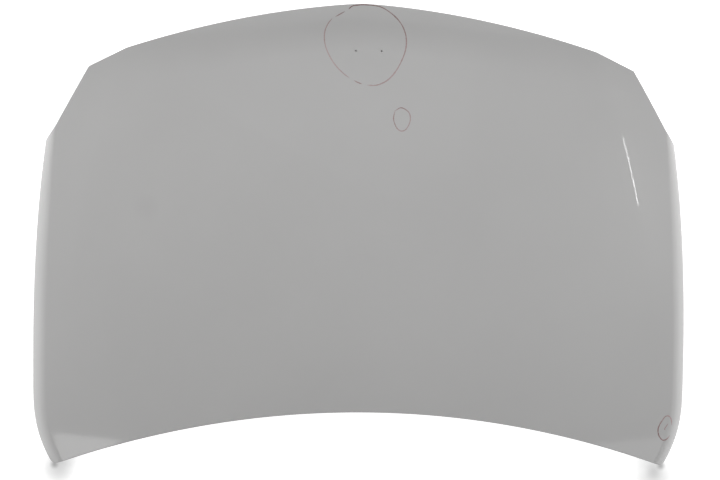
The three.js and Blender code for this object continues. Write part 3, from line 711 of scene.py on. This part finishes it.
def rounded_rectangle(width, length, radius, steps=8):
    outline = []
    for quarter, (side, end) in enumerate([(1, 1), (-1, 1), (-1, -1), (1, -1)]):
        for step in range(steps + 1):
            angle = (quarter + step / steps) * math.pi / 2
            x = side * (width / 2 - radius) + radius * math.cos(angle)
            y = end * (length / 2 - radius) + radius * math.sin(angle)
            outline.append((x, y))
    return outline


def hexagon(width, inset, steps=48):
    """A hexagon whose corners are turned back by a cone, as on a nut."""
    outline = []
    for k in range(steps):
        angle = 2 * math.pi * k / steps
        from_flat = (angle % (math.pi / 3)) - math.pi / 6
        reach = min(width / 2 / math.cos(from_flat), width / 2 * HEX_CORNERS - inset)
        outline.append((reach * math.cos(angle), reach * math.sin(angle)))
    return outline


def flat_piece(outline, holes, low, high, bevel):
    """A plate with bevelled edges: outline and holes give a loop for an inset into the metal."""
    work = bmesh.new()
    soft = 0.3 * bevel
    levels = [(low, bevel), (low + soft, soft), (low + bevel, 0)]
    levels += [(high - bevel, 0), (high - soft, soft), (high, bevel)]
    caps = ([], [])
    for loop in [outline] + holes:
        rings = [[work.verts.new((x, y, z)) for x, y in loop(inset)] for z, inset in levels]
        for lower, upper in zip(rings, rings[1:]):
            for k in range(len(lower)):
                work.faces.new((lower[k - 1], lower[k], upper[k], upper[k - 1]))
        for cap, ring in zip(caps, (rings[0], rings[-1])):
            cap.extend(work.edges.get((ring[k - 1], ring[k])) for k in range(len(ring)))
    for cap in caps:
        bmesh.ops.triangle_fill(work, edges=cap, use_beauty=True)
    work.verts.index_update()
    points = [tuple(vert.co) for vert in work.verts]
    faces = [[vert.index for vert in face.verts] for face in work.faces]
    work.free()
    return points, faces


def plate(outline, thickness, holes, low=0.0):
    width, length, radius = outline
    return flat_piece(
        lambda inset: rounded_rectangle(width - 2 * inset, length - 2 * inset, radius - inset),
        [lambda inset, x=x, y=y: circle(BOLT_HOLE / 2 + inset, 32, x, y) for x, y in holes],
        low, low + thickness, PLATE_BEVEL,
    )


def weld_nut():
    bore = BOLT_DIAMETER / 2 + GAP
    return flat_piece(
        lambda inset: hexagon(NUT_WIDTH, inset),
        [lambda inset: circle(bore + inset, 48)],
        0, NUT_HEIGHT, HEX_BEVEL,
    )


def bolt():
    washer_height = BOLT_HEAD_HEIGHT / 4
    washer = BOLT_HEAD * 0.68
    radius = BOLT_DIAMETER / 2
    head = flat_piece(lambda inset: hexagon(BOLT_HEAD, inset), [], -BOLT_HEAD_HEIGHT, -0.4, HEX_BEVEL)
    skirt = [(0, -washer_height), (washer - 1.4, -washer_height), (washer, -0.5), (washer, 0), (0, 0)]
    thread = [(0, -0.3), (radius, -0.3), (radius, 2.5)]
    z = THREAD_START
    while z < BOLT_LENGTH - 2:
        thread += [(radius - THREAD_DEPTH, z), (radius, z + THREAD_PITCH / 2)]
        z += THREAD_PITCH
    thread += [(radius - 0.6, BOLT_LENGTH - 1.2), (radius - 1.2, BOLT_LENGTH), (0, BOLT_LENGTH)]
    return combine([head, lathe(soften(skirt, 0.4)), lathe(thread)])


def bow():
    """The striker's wire: down one leg, round, and up the other, with a weld at each end."""
    radius = BOW_WIDTH / 2
    leg = BOW_HEIGHT - radius
    run = [(-radius, -d) for d in np.linspace(0, leg, 10, endpoint=False)]
    run += [(-radius * math.cos(a), -leg - radius * math.sin(a)) for a in np.linspace(0, math.pi, 33)]
    run += [(radius, -d) for d in np.linspace(leg, 0, 10, endpoint=False)[1:]] + [(radius, 0)]
    run = np.array(run)
    ahead = unit(np.gradient(run, axis=0))
    points = []
    for (y, z), (step_y, step_z) in zip(run, ahead):
        reach = BOW_WIRE / 2 + WELD_SWELL * max(0, 1 + z / WELD_HEIGHT) ** 1.5
        points += [(x, y + across * step_z, z - across * step_y) for x, across in circle(reach, WIRE_SIDES)]
    return tube(points, WIRE_SIDES, caps=True)


def buffer():
    below = -SKIN - SEAT_GAP
    head, neck, barb = BUFFER_HEAD / 2, BUFFER_NECK / 2, BUFFER_BARB / 2
    tip = below - BUFFER_HEIGHT
    profile = [(0, tip + 1.2), (2.4, tip + 1.2), (2.9, tip), (head * 0.54, tip), (head * 0.84, tip + 2.2)]
    profile += [(head, below - 3.3), (head, below - 1.9), (head - 0.7, below - 1.5), (head - 0.7, below)]
    profile += [(neck, below), (neck, SEAT_GAP), (barb, SEAT_GAP), (neck * 0.7, SEAT_GAP + barb)]
    return lathe(soften(profile + [(0, SEAT_GAP + barb)], 1.0))


def prop_rod_bush():
    below = -SKIN - SEAT_GAP
    flange = BUSH_HEIGHT / 5
    top = BUSH_HEIGHT - flange
    bore, barrel, wide = BUSH_BORE / 2, BUSH_BARREL / 2, BUSH_FLANGE / 2
    soft = 0.8
    profile = [(bore + soft, below - flange), (wide - soft, below - flange), (wide, below - soft)]
    profile += [(wide, below), (barrel, below), (barrel, SEAT_GAP), (BUSH_HOLE / 2 + 1, SEAT_GAP)]
    profile += [(barrel - 1, top), (bore, top), (bore, below - flange + soft)]
    return lathe(soften(profile, 0.5, closed=True), closed=True)


def mastic_bead(u, v, order):
    """A squeezed bead between the frame and the skin, its sides a little uneven."""
    uneven = order.uniform(-BEAD_UNEVEN, BEAD_UNEVEN, (2, BEAD_STATIONS))
    top, bottom = SKIN + BEAD_TOP_GAP, RIM_DEPTH + WINDOW_SEAT_DEPTH - GAP
    middle, thick = (top + bottom) / 2, (bottom - top) / 2
    points = []
    for k, station in enumerate(np.linspace(-1, 1, BEAD_STATIONS)):
        round_end = math.sqrt(max(0.06, 1 - station ** 6))
        half = (BEAD_WIDTH / 2 - BEAD_UNEVEN) * round_end
        for x, z in circle(1, BEAD_SIDES):
            side = half + uneven[int(x > 0), k] * round_end
            across = math.copysign(abs(x) ** 0.6, x) * side
            depth = middle - math.copysign(abs(z) ** 0.6, z) * thick * (0.6 + 0.4 * round_end)
            at = v + station * BEAD_LENGTH / 2
            points.append(tuple(under_skin(np.array([u + across]), np.array([at]), depth)[0]))
    return tube(points, BEAD_SIDES, caps=True)


# Cutting tools

def cutting_tool(name, parts):
    mesh = fill_mesh(name, *combine(parts))
    clean(mesh)
    return show(name, mesh)


def prism(name, outlines, low=-200, high=400):
    parts = []
    for outline in outlines:
        count = len(outline)
        points = [(x, y, z) for z in (low, high) for x, y in outline]
        bottom, top = np.arange(count), np.arange(count) + count
        faces = [bottom[::-1].tolist(), top.tolist()] + loop_faces(top, bottom).tolist()
        parts.append((points, faces))
    return cutting_tool(name, parts)


def slanted(u, v, diameter, reach=30):
    """A short drill that stands square on the frame."""
    points, faces = lathe([(0, -reach), (diameter / 2, -reach), (diameter / 2, reach), (0, reach)], 48)
    matrix = seat(u, v)
    return [tuple(matrix @ Vector(p)) for p in points], faces


def cut(piece, tool):
    trim = piece.modifiers.new("cut", "BOOLEAN")
    trim.operation = "DIFFERENCE"
    trim.solver = "EXACT"
    trim.object = tool
    depsgraph = bpy.context.evaluated_depsgraph_get()
    result = bpy.data.meshes.new_from_object(piece.evaluated_get(depsgraph))
    piece.modifiers.remove(trim)
    piece.data = result
    bpy.data.objects.remove(tool)


def window_outline(column, row, length):
    u, v = np.array(rounded_rectangle(WINDOW_WIDTH, length - 2 * WINDOW_FLANGE, WINDOW_RADIUS)).T
    return list(zip(*plan(column + u, row + v)))


def seat(u, v):
    """Stands a fitting on the frame, its own Z up through the sheet."""
    at = np.array([float(u)]), np.array([float(v)])
    normal, place = Vector(frame_normal(*at)[0]), Vector(frame_point(*at)[0])
    turn = Vector((0, 0, 1)).rotation_difference(normal)
    return Matrix.Translation(place) @ turn.to_matrix().to_4x4()


# Materials

def new_material(name):
    material = bpy.data.materials.new(name)
    material.use_nodes = True
    tree = material.node_tree
    return material, tree, tree.nodes["Principled BSDF"]


def set_inputs(node, values):
    for name, value in values.items():
        node.inputs[name].default_value = value


def object_place(tree):
    """The object's own coordinates, in metres."""
    return tree.nodes.new("ShaderNodeTexCoord").outputs["Object"]


def add_noise(tree, scale, detail):
    noise = tree.nodes.new("ShaderNodeTexNoise")
    set_inputs(noise, {"Scale": scale, "Detail": detail})
    tree.links.new(object_place(tree), noise.inputs["Vector"])
    return noise.outputs["Fac"]


def distance_from(tree, point):
    away = tree.nodes.new("ShaderNodeVectorMath")
    away.operation = "DISTANCE"
    away.inputs[1].default_value = point
    tree.links.new(object_place(tree), away.inputs[0])
    return away.outputs["Value"]


def mesh_value(tree, name):
    """A value that the mesh carries at its points."""
    value = tree.nodes.new("ShaderNodeAttribute")
    value.attribute_name = name
    return value.outputs["Fac"]


def worked_out(tree, operation, first, second):
    """The answer of a maths node for two sockets, or a socket and a number."""
    answer = tree.nodes.new("ShaderNodeMath")
    answer.operation = operation
    for socket, value in zip(answer.inputs, (first, second)):
        if isinstance(value, float):
            socket.default_value = value
        else:
            tree.links.new(value, socket)
    return answer.outputs[0]


def larger(tree, first, second):
    return worked_out(tree, "MAXIMUM", first, second)


def multiplied(tree, first, second):
    return worked_out(tree, "MULTIPLY", first, second)


def ranged(tree, value, low, high, from_low=0.0, from_high=1.0, soft=False):
    spread_out = tree.nodes.new("ShaderNodeMapRange")
    spread_out.interpolation_type = "SMOOTHSTEP" if soft else "LINEAR"
    set_inputs(spread_out, {"From Min": from_low, "From Max": from_high, "To Min": low, "To Max": high})
    tree.links.new(value, spread_out.inputs["Value"])
    return spread_out.outputs["Result"]


def blend_colors(tree, share, first, second):
    """Mixes two colours or sockets by a share."""
    blend = tree.nodes.new("ShaderNodeMix")
    blend.data_type = "RGBA"
    tree.links.new(share, blend.inputs["Factor"])
    for socket, colour in ((blend.inputs[6], first), (blend.inputs[7], second)):
        if isinstance(colour, tuple):
            socket.default_value = (*colour, 1)
        else:
            tree.links.new(colour, socket)
    return blend.outputs[2]


def add_bump(tree, height, distance, target):
    bump = tree.nodes.new("ShaderNodeBump")
    set_inputs(bump, {"Strength": 1.0, "Distance": distance})
    tree.links.new(height, bump.inputs["Height"])
    tree.links.new(bump.outputs["Normal"], target)


# Middle of the smudge, in metres
SMUDGE = (-0.488, 0.061, 0.094)
PAINT = (0.352, 0.3495, 0.348)


def grey_paint():
    """Gloss coat with soft mottling, orange peel, one faint smudge and a paler worn edge."""
    material, tree, shader = new_material("grey_paint")
    cloud = add_noise(tree, 2.6, 6)
    tone = blend_colors(tree, ranged(tree, cloud, 0, 1, 0.3, 0.7),
                        tuple(0.975 * c for c in PAINT), tuple(1.025 * c for c in PAINT))
    smudge = ranged(tree, distance_from(tree, SMUDGE), 0.045, 0.0, 0.004, 0.035)
    tone = blend_colors(tree, smudge, tone, (0.05, 0.05, 0.05))
    chips = ranged(tree, add_noise(tree, 140, 4), 0.1, 0.5, 0.45, 0.62)
    worn = multiplied(tree, mesh_value(tree, "rim"), chips)
    tone = blend_colors(tree, worn, tone, (0.55, 0.55, 0.55))
    tree.links.new(tone, shader.inputs["Base Color"])
    haze = add_noise(tree, 9, 5)
    tree.links.new(ranged(tree, haze, 0.38, 0.52), shader.inputs["Roughness"])
    peel = add_noise(tree, 380, 2)
    add_bump(tree, peel, 0.00001, shader.inputs["Coat Normal"])
    set_inputs(shader, {"Coat Weight": 0.6, "Coat Roughness": 0.05})
    return material


def frame_paint():
    """Thin dull coat with dry patches and settled dust."""
    material, tree, shader = new_material("frame_paint")
    cloud = ranged(tree, add_noise(tree, 6, 7), 0, 1, 0.32, 0.68)
    tone = blend_colors(tree, cloud, (0.235, 0.236, 0.240), (0.305, 0.304, 0.302))
    dust = ranged(tree, add_noise(tree, 55, 5), 0, 0.3, 0.5, 0.7)
    tone = blend_colors(tree, dust, tone, (0.36, 0.345, 0.32))
    tree.links.new(tone, shader.inputs["Base Color"])
    tree.links.new(ranged(tree, cloud, 0.62, 0.45), shader.inputs["Roughness"])
    grain = add_noise(tree, 900, 2)
    add_bump(tree, grain, 0.00002, shader.inputs["Normal"])
    set_inputs(shader, {"Coat Weight": 0.15, "Coat Roughness": 0.3})
    return material


def zinc_steel():
    """Zinc plate with a fine crystal tone and a few dull spots."""
    material, tree, shader = new_material("zinc_steel")
    crystal = tree.nodes.new("ShaderNodeTexVoronoi")
    crystal.inputs["Scale"].default_value = 420
    tree.links.new(object_place(tree), crystal.inputs["Vector"])
    tone = blend_colors(tree, ranged(tree, crystal.outputs["Distance"], 0, 1, 0, 0.6),
                        (0.46, 0.45, 0.41), (0.58, 0.57, 0.53))
    spots = ranged(tree, add_noise(tree, 150, 4), 0, 0.6, 0.58, 0.7)
    tone = blend_colors(tree, spots, tone, (0.30, 0.29, 0.27))
    tree.links.new(tone, shader.inputs["Base Color"])
    tree.links.new(ranged(tree, spots, 0.33, 0.6), shader.inputs["Roughness"])
    shader.inputs["Metallic"].default_value = 1.0
    add_bump(tree, add_noise(tree, 1500, 2), 0.00001, shader.inputs["Normal"])
    return material


def dark_material(name, dark, pale, rough, grain_scale, grain_depth):
    material, tree, shader = new_material(name)
    dust = ranged(tree, add_noise(tree, 120, 5), 0, 1, 0.4, 0.75)
    tree.links.new(blend_colors(tree, dust, dark, pale), shader.inputs["Base Color"])
    tree.links.new(ranged(tree, dust, rough, rough + 0.15), shader.inputs["Roughness"])
    grain = add_noise(tree, grain_scale, 3)
    add_bump(tree, grain, grain_depth, shader.inputs["Normal"])
    return material


def marker_ink():
    """Old marker on the paint: dark where the stroke is strong, near the paint's tone where faint."""
    material, tree, shader = new_material("marker_ink")
    patchy = ranged(tree, add_noise(tree, 60, 3), 0.75, 1.15, 0.35, 0.65)
    share = multiplied(tree, mesh_value(tree, "strength"), patchy)
    tone = blend_colors(tree, share, (0.36, 0.278, 0.274), (0.105, 0.035, 0.034))
    tree.links.new(tone, shader.inputs["Base Color"])
    set_inputs(shader, {"Roughness": 0.45, "Coat Weight": 0.2})
    return material


paint = grey_paint()
dull_paint = frame_paint()
zinc = zinc_steel()
rubber = dark_material("black_rubber", (0.012, 0.012, 0.012), (0.035, 0.034, 0.032), 0.75, 700, 0.00003)
plastic = dark_material("black_plastic", (0.016, 0.016, 0.018), (0.03, 0.03, 0.03), 0.42, 1200, 0.00001)
mastic = dark_material("mastic", (0.075, 0.07, 0.063), (0.11, 0.105, 0.095), 0.7, 260, 0.00015)
sealant = dark_material("hem_sealer", (0.24, 0.24, 0.235), (0.30, 0.295, 0.285), 0.55, 180, 0.0001)
ink = marker_ink()


# The two sheets

skin = outer_panel()
cut(skin, prism("badge_tool", [circle(BADGE_HOLE / 2, 32, x, y) for x, y in BADGE_HOLES]))
shade(skin)
dress(skin, paint)
skin.data.materials.append(dull_paint)
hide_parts("outer_panel")

inner = inner_panel()
openings = [window_outline(column, row, length) for row, length in WINDOW_ROWS for column in WINDOW_COLUMNS]
for side in (-1, 1):
    openings += [circle(BOLT_HOLE / 2, 40, side * HINGE_CENTRE[0], y) for y in HINGE_BOLTS_Y]
    openings.append(circle(BOLT_HOLE / 2, 40, side * STRIKER_BOLT_PITCH / 2, STRIKER_Y))
cut(inner, prism("window_tool", openings))
drills = [slanted(u, v, BUFFER_HOLE) for _, u, v in BUFFERS] + [slanted(*BUSH, BUSH_HOLE)]
cut(inner, cutting_tool("drill_tool", drills))
shade(inner)
dress(inner, dull_paint)
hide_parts("inner_panel")

make_piece("hem_sealer", sealer(), sealant, None)


# Fittings

hinge_holes = [(0, end * HINGE_BOLT_PITCH / 2) for end in (-1, 1)]
striker_holes = [(side * STRIKER_BOLT_PITCH / 2, 0) for side in (-1, 1)]


def stand(name, part, node, x, y, z):
    """Puts a level zinc piece at its place and lets it stand for the node."""
    make_piece(name, part, zinc, node, Matrix.Translation((x, y, z)))


for name, sign in SIDES:
    x = sign * HINGE_CENTRE[0]
    stand(f"hinge_plate_{name}", plate(HINGE_PLATE, PLATE, hinge_holes),
          f"hinge_reinforcement_{name}", x, HINGE_CENTRE[1], HINGE_PAD_Z + GAP)
    for end, y in zip(("rear", "front"), HINGE_BOLTS_Y):
        stand(f"hinge_nut_{name}_{end}", weld_nut(), f"hinge_weld_nut_{name}_{end}",
              x, y, HINGE_PAD_Z + NUT_LIFT)
    x = sign * STRIKER_BOLT_PITCH / 2
    stand(f"striker_nut_{name}", weld_nut(), f"striker_weld_nut_{name}",
          x, STRIKER_Y, STRIKER_PAD_Z + NUT_LIFT)
    stand(f"striker_screw_{name}", bolt(), f"striker_bolt_{name}", x, STRIKER_Y, BASE_Z - GAP)

stand("striker_backing", plate(STRIKER_PLATE, PLATE, striker_holes), "striker_reinforcement",
      0, STRIKER_Y, STRIKER_PAD_Z + GAP)
stand("striker_foot", plate(BASE, BASE_THICKNESS, striker_holes), "striker_base", 0, STRIKER_Y, BASE_Z)
stand("striker_wire", bow(), "striker_bow", 0, STRIKER_Y, BASE_Z - GAP)

for name, u, v in BUFFERS:
    make_piece(f"{name}_rubber", buffer(), rubber, name, seat(u, v))
make_piece("prop_rod_sleeve", prop_rod_bush(), plastic, "prop_rod_bush", seat(*BUSH))

order = np.random.default_rng(7)
bead_number = 0
for row, _ in WINDOW_ROWS:
    for column in WINDOW_COLUMNS:
        for side in (-1, 1):
            bead_number += 1
            u = column + side * (SEAT_WIDTH - WINDOW_FLANGE) / 2
            make_piece(f"mastic_{bead_number:02d}", mastic_bead(u, row, order), mastic,
                       f"mastic_bead_{bead_number:02d}", sharp_angle=60)


# Marker strokes drawn on the paint

RING = [(-17, 527.5), (6, 529.5), (40, 525), (64.5, 509.7), (84.2, 488.2), (94.8, 464.6),
        (97.7, 441.3), (94.1, 418.3), (85, 395.4), (73.6, 374.8), (57.7, 356.4), (39.6, 345.4),
        (23.7, 341.6), (7.8, 342.3)]
RING_FOOT = [(-3.5, 344.5), (-12.6, 347.8), (-21.6, 352.3)]
RING_LEFT = [(-32, 358), (-46.6, 369.1), (-60.2, 382.6), (-71, 397), (-82, 418), (-88.2, 439.4),
             (-88, 462.6), (-80.8, 481.6), (-70, 496)]
RING_TOP = [(-63, 499.5), (-53, 505.5), (-41, 512.5)]
RING_START = [(-32.5, 518), (-25, 525)]
OVAL = [(71.4, 284), (86, 291.5), (103.2, 280.5), (106, 262), (97, 243.4), (85.1, 238.8), (74.5, 247.5),
        (68.3, 265.8), (71.8, 286)]
LOOP = [(719, -459), (710.5, -467.5), (700.5, -468.6), (692.4, -459.3), (689.3, -445.1), (693.2, -432.3),
        (700.4, -420.7), (706, -414), (713.4, -412.6), (720.1, -420.1), (722.8, -434.8)]
TICK = [(713.5, -430), (709, -436.5), (705.2, -442.5), (706.4, -446)]
# Name, points, width, and the ink's strength from the start of the stroke to its end
STROKES = [
    ("marker_ring", RING_START + RING, 2.7,
     (0.9, 1.2, 1.2, 0.85, 0.65, 0.54, 0.4, 0.34, 0.22, 0.22, 0.28, 0.2)),
    ("marker_ring_foot", RING_FOOT, 2.4, (0.4, 0.42)),
    ("marker_ring_left", RING_LEFT, 2.4, (0.24, 0.2, 0.09, 0.07, 0.16, 0.32, 0.4, 0.38)),
    ("marker_ring_top", RING_TOP, 2.4, (0.7, 0.8)),
    ("marker_oval", OVAL, 2.3, (0.32, 0.44, 0.34, 0.24, 0.33, 0.28, 0.34, 0.44, 0.32)),
    ("marker_loop", LOOP, 2.8, (0.4, 0.52, 0.62, 0.74, 0.72, 0.5, 0.45, 0.4, 0.32, 0.26, 0.26)),
    ("marker_tick", TICK, 2.0, (0.35, 0.4)),
]


INK_UNEVEN = 0.16
# Section of the film of ink: share of the half width, and height over the paint
FILM_SECTION = [(-1, -0.04), (-0.75, 0.08), (0, 0.11), (0.75, 0.08), (1, -0.04), (0, -0.06)]


def smooth_path(points, steps=14):
    """A smooth curve through the points."""
    ends = [2 * np.array(points[0]) - points[1]] + [np.array(p) for p in points]
    ends.append(2 * ends[-1] - ends[-2])
    path = []
    for a, b, c, d in zip(ends, ends[1:], ends[2:], ends[3:]):
        for t in np.linspace(0, 1, steps, endpoint=False):
            path.append(b + t / 2 * (c - a) + t * t * (a - 2.5 * b + 2 * c - 0.5 * d)
                        + t ** 3 * (1.5 * b - 1.5 * c + 0.5 * (d - a)))
    return np.array(path + [ends[-2]])


def stroke(points, width, order):
    """A thin film that follows the outer face, narrower at its ends."""
    path = smooth_path(points)
    ahead = unit(np.gradient(path, axis=0))
    aside = np.stack([-ahead[:, 1], ahead[:, 0]], -1)
    ends = np.minimum(np.arange(len(path)), np.arange(len(path))[::-1]) / 10
    half = width / 2 * np.clip(0.25 + ends, 0, 1) * (1 + INK_UNEVEN * order.standard_normal(len(path)))
    rows = []
    for side, lift in FILM_SECTION:
        x, y = (path + aside * half[:, None] * side).T
        rows.append(np.stack([x, y, skin_height(x, y)], -1) + skin_normal(x, y) * lift)
    return tube(np.stack(rows, 1).reshape(-1, 3).tolist(), len(FILM_SECTION), caps=True)


def draw(name, points, width, strengths, order):
    """One stroke of ink, with its strength along it kept on the mesh for the material."""
    mesh = fill_mesh(name, *stroke(points, width, order))
    sides = len(FILM_SECTION)
    along = np.repeat(np.linspace(0, 1, len(mesh.vertices) // sides), sides)
    keep_values(mesh, "strength", np.interp(along, np.linspace(0, 1, len(strengths)), strengths))
    clean(mesh)
    piece = show(name, mesh)
    shade(piece, 180)
    dress(piece, ink)


for name, points, width, strengths in STROKES:
    draw(name, points, width, strengths, order)


# Floor, light and camera

FLOOR_LEVEL = -0.0006
# Painted shadows on the floor by the rear tips: side, reach, how far inward and back from the tip, share of
# light left
PAINTED_TIP_SHADES = [(-1, 14, (4, 4), 0.57), (-1, 76, (14, 13), 0.5),
              (1, 14, (2, 3), 0.52), (1, 27, (18, 16), 0.79), (1, 94, (20, 30), 0.55)]


def sees_background(tree):
    """One for camera, glossy and transmission rays, zero for the light on the object."""
    path = tree.nodes.new("ShaderNodeLightPath")
    value = larger(tree, path.outputs["Is Camera Ray"], path.outputs["Is Glossy Ray"])
    return larger(tree, value, path.outputs["Is Transmission Ray"])


def painted_tip_shade(tree):
    """Share of light left on the floor under a painted shadow close to the two rear tips."""
    light = None
    for side, reach, (inward, back), share in PAINTED_TIP_SHADES:
        spot = (side * (REAR_TIP[0] - inward) * MM, (REAR_TIP[1] - back) * MM, FLOOR_LEVEL)
        away = distance_from(tree, spot)
        part = ranged(tree, away, share, 1.0, 0.0, reach * MM, soft=True)
        light = part if light is None else multiplied(tree, light, part)
    return light


def floor(glow):
    """White floor that keeps the shadow, and is clear from below and for the lamp beneath."""
    mesh = bpy.data.meshes.new("floor")
    half, level = 9.0, FLOOR_LEVEL
    corners = [(-half, -half, level), (half, -half, level), (half, half, level), (-half, half, level)]
    mesh.from_pydata(corners, [], [(0, 1, 2, 3)])
    ground = show("floor", mesh)
    material, tree, shader = new_material("floor_white")
    set_inputs(shader, {"Roughness": 0.9, "Specular IOR Level": 0.0, "Emission Color": (1, 1, 1, 1)})
    # Painted shadow near the rear tips darkens both the floor's glow and its colour
    light = painted_tip_shade(tree)
    strength = multiplied(tree, sees_background(tree), glow)
    tree.links.new(multiplied(tree, strength, light), shader.inputs["Emission Strength"])
    tree.links.new(blend_colors(tree, light, (0, 0, 0), (0.4, 0.4, 0.4)), shader.inputs["Base Color"])
    side = tree.nodes.new("ShaderNodeNewGeometry")
    path = tree.nodes.new("ShaderNodeLightPath")
    clear = tree.nodes.new("ShaderNodeBsdfTransparent")
    choice = tree.nodes.new("ShaderNodeMixShader")
    unseen = larger(tree, side.outputs["Backfacing"], path.outputs["Is Shadow Ray"])
    tree.links.new(unseen, choice.inputs[0])
    tree.links.new(shader.outputs[0], choice.inputs[1])
    tree.links.new(clear.outputs[0], choice.inputs[2])
    tree.links.new(choice.outputs[0], tree.nodes["Material Output"].inputs["Surface"])
    mesh.materials.append(material)


def world(level):
    sky = bpy.data.worlds.new("studio")
    bpy.context.scene.world = sky
    sky.use_nodes = True
    tree = sky.node_tree
    background = tree.nodes["Background"]
    background.inputs["Color"].default_value = (1, 1, 1, 1)
    strength = ranged(tree, sees_background(tree), level, 1.0)
    tree.links.new(strength, background.inputs["Strength"])


def lamp(name, place, aim, width, length, watts, reflected=False):
    """A rectangular lamp that either lights the object or is only reflected in it."""
    light = bpy.data.lights.new(name, "AREA")
    light.shape = "RECTANGLE"
    light.size = width
    light.size_y = length
    light.energy = watts
    holder = bpy.data.objects.new(name, light)
    holder.location = place
    holder.rotation_euler = (Vector(aim) - Vector(place)).to_track_quat("-Z", "Y").to_euler()
    holder.visible_glossy = reflected
    holder.visible_diffuse = not reflected
    holder.visible_camera = False
    bpy.context.scene.collection.objects.link(holder)


def camera():
    tilt, turn, roll = (math.radians(a) for a in (CAMERA_TILT, CAMERA_TURN, CAMERA_ROLL))
    back = Vector((0, -math.cos(tilt), math.sin(tilt)))
    up = back.cross(Vector((1, 0, 0)))
    back = back * math.cos(turn) + Vector((1, 0, 0)) * math.sin(turn)
    right = up.cross(back)
    right, up = right * math.cos(roll) + up * math.sin(roll), up * math.cos(roll) - right * math.sin(roll)
    data = bpy.data.cameras.new("camera")
    data.sensor_fit = "HORIZONTAL"
    data.sensor_width = 36
    data.lens = FOCAL_PIXELS / PICTURE_WIDTH * data.sensor_width
    data.clip_end = 100
    view = bpy.data.objects.new("camera", data)
    turned = Matrix((right, up, back)).transposed().to_4x4()
    place = (Vector(CAMERA_AIM) + back * CAMERA_DISTANCE) * MM
    view.matrix_world = Matrix.Translation(place) @ turned
    bpy.context.scene.collection.objects.link(view)
    bpy.context.scene.camera = view


CEILING = 3.2
# Each lamp: name, place, aim, width, length, watts
LAMPS = [
    ("overhead", (0, 0.2, CEILING), (0, 0, 0), 2.0, 1.2, 15),
    ("overhead_front", (0, 1.2, CEILING), (0, 0.2, 0), 2.0, 1.2, 51),
    ("side_left", (-3.15, 0.3, 0.35), (-0.7, 0, 0.05), 0.5, 2.5, 69),
    ("side_right", (3.15, 0.3, 0.35), (0.7, 0, 0.05), 0.5, 2.5, 66),
    ("below", (0, 0, -3), (0, 0, 0), 2.4, 1.8, 40),
]
# Seen only as reflections: a bright strip, a pale card and one behind each rear corner
CARDS = [
    ("strip", (1.157, 0.316, 1.0), (0.607, 0.235, 0.1), 0.3, 0.02, 0.4),
    ("card", (3.44, 1.12, CEILING), (3.44, 1.12, 0), 1.72, 2.54, 2.5),
    ("card_left", (-2.02, -2.2, CEILING), (-2.02, -2.2, 0), 0.56, 0.82, 6),
    ("card_right", (2.4, -2.25, CEILING), (2.4, -2.25, 0), 0.8, 0.82, 3.6),
]
FLOOR_GLOW = 1.06
WORLD_LEVEL = 0.25

floor(FLOOR_GLOW)
world(WORLD_LEVEL)
for values in LAMPS:
    lamp(*values)
for values in CARDS:
    lamp(*values, reflected=True)
camera()
bpy.context.scene.view_settings.view_transform = "Standard"
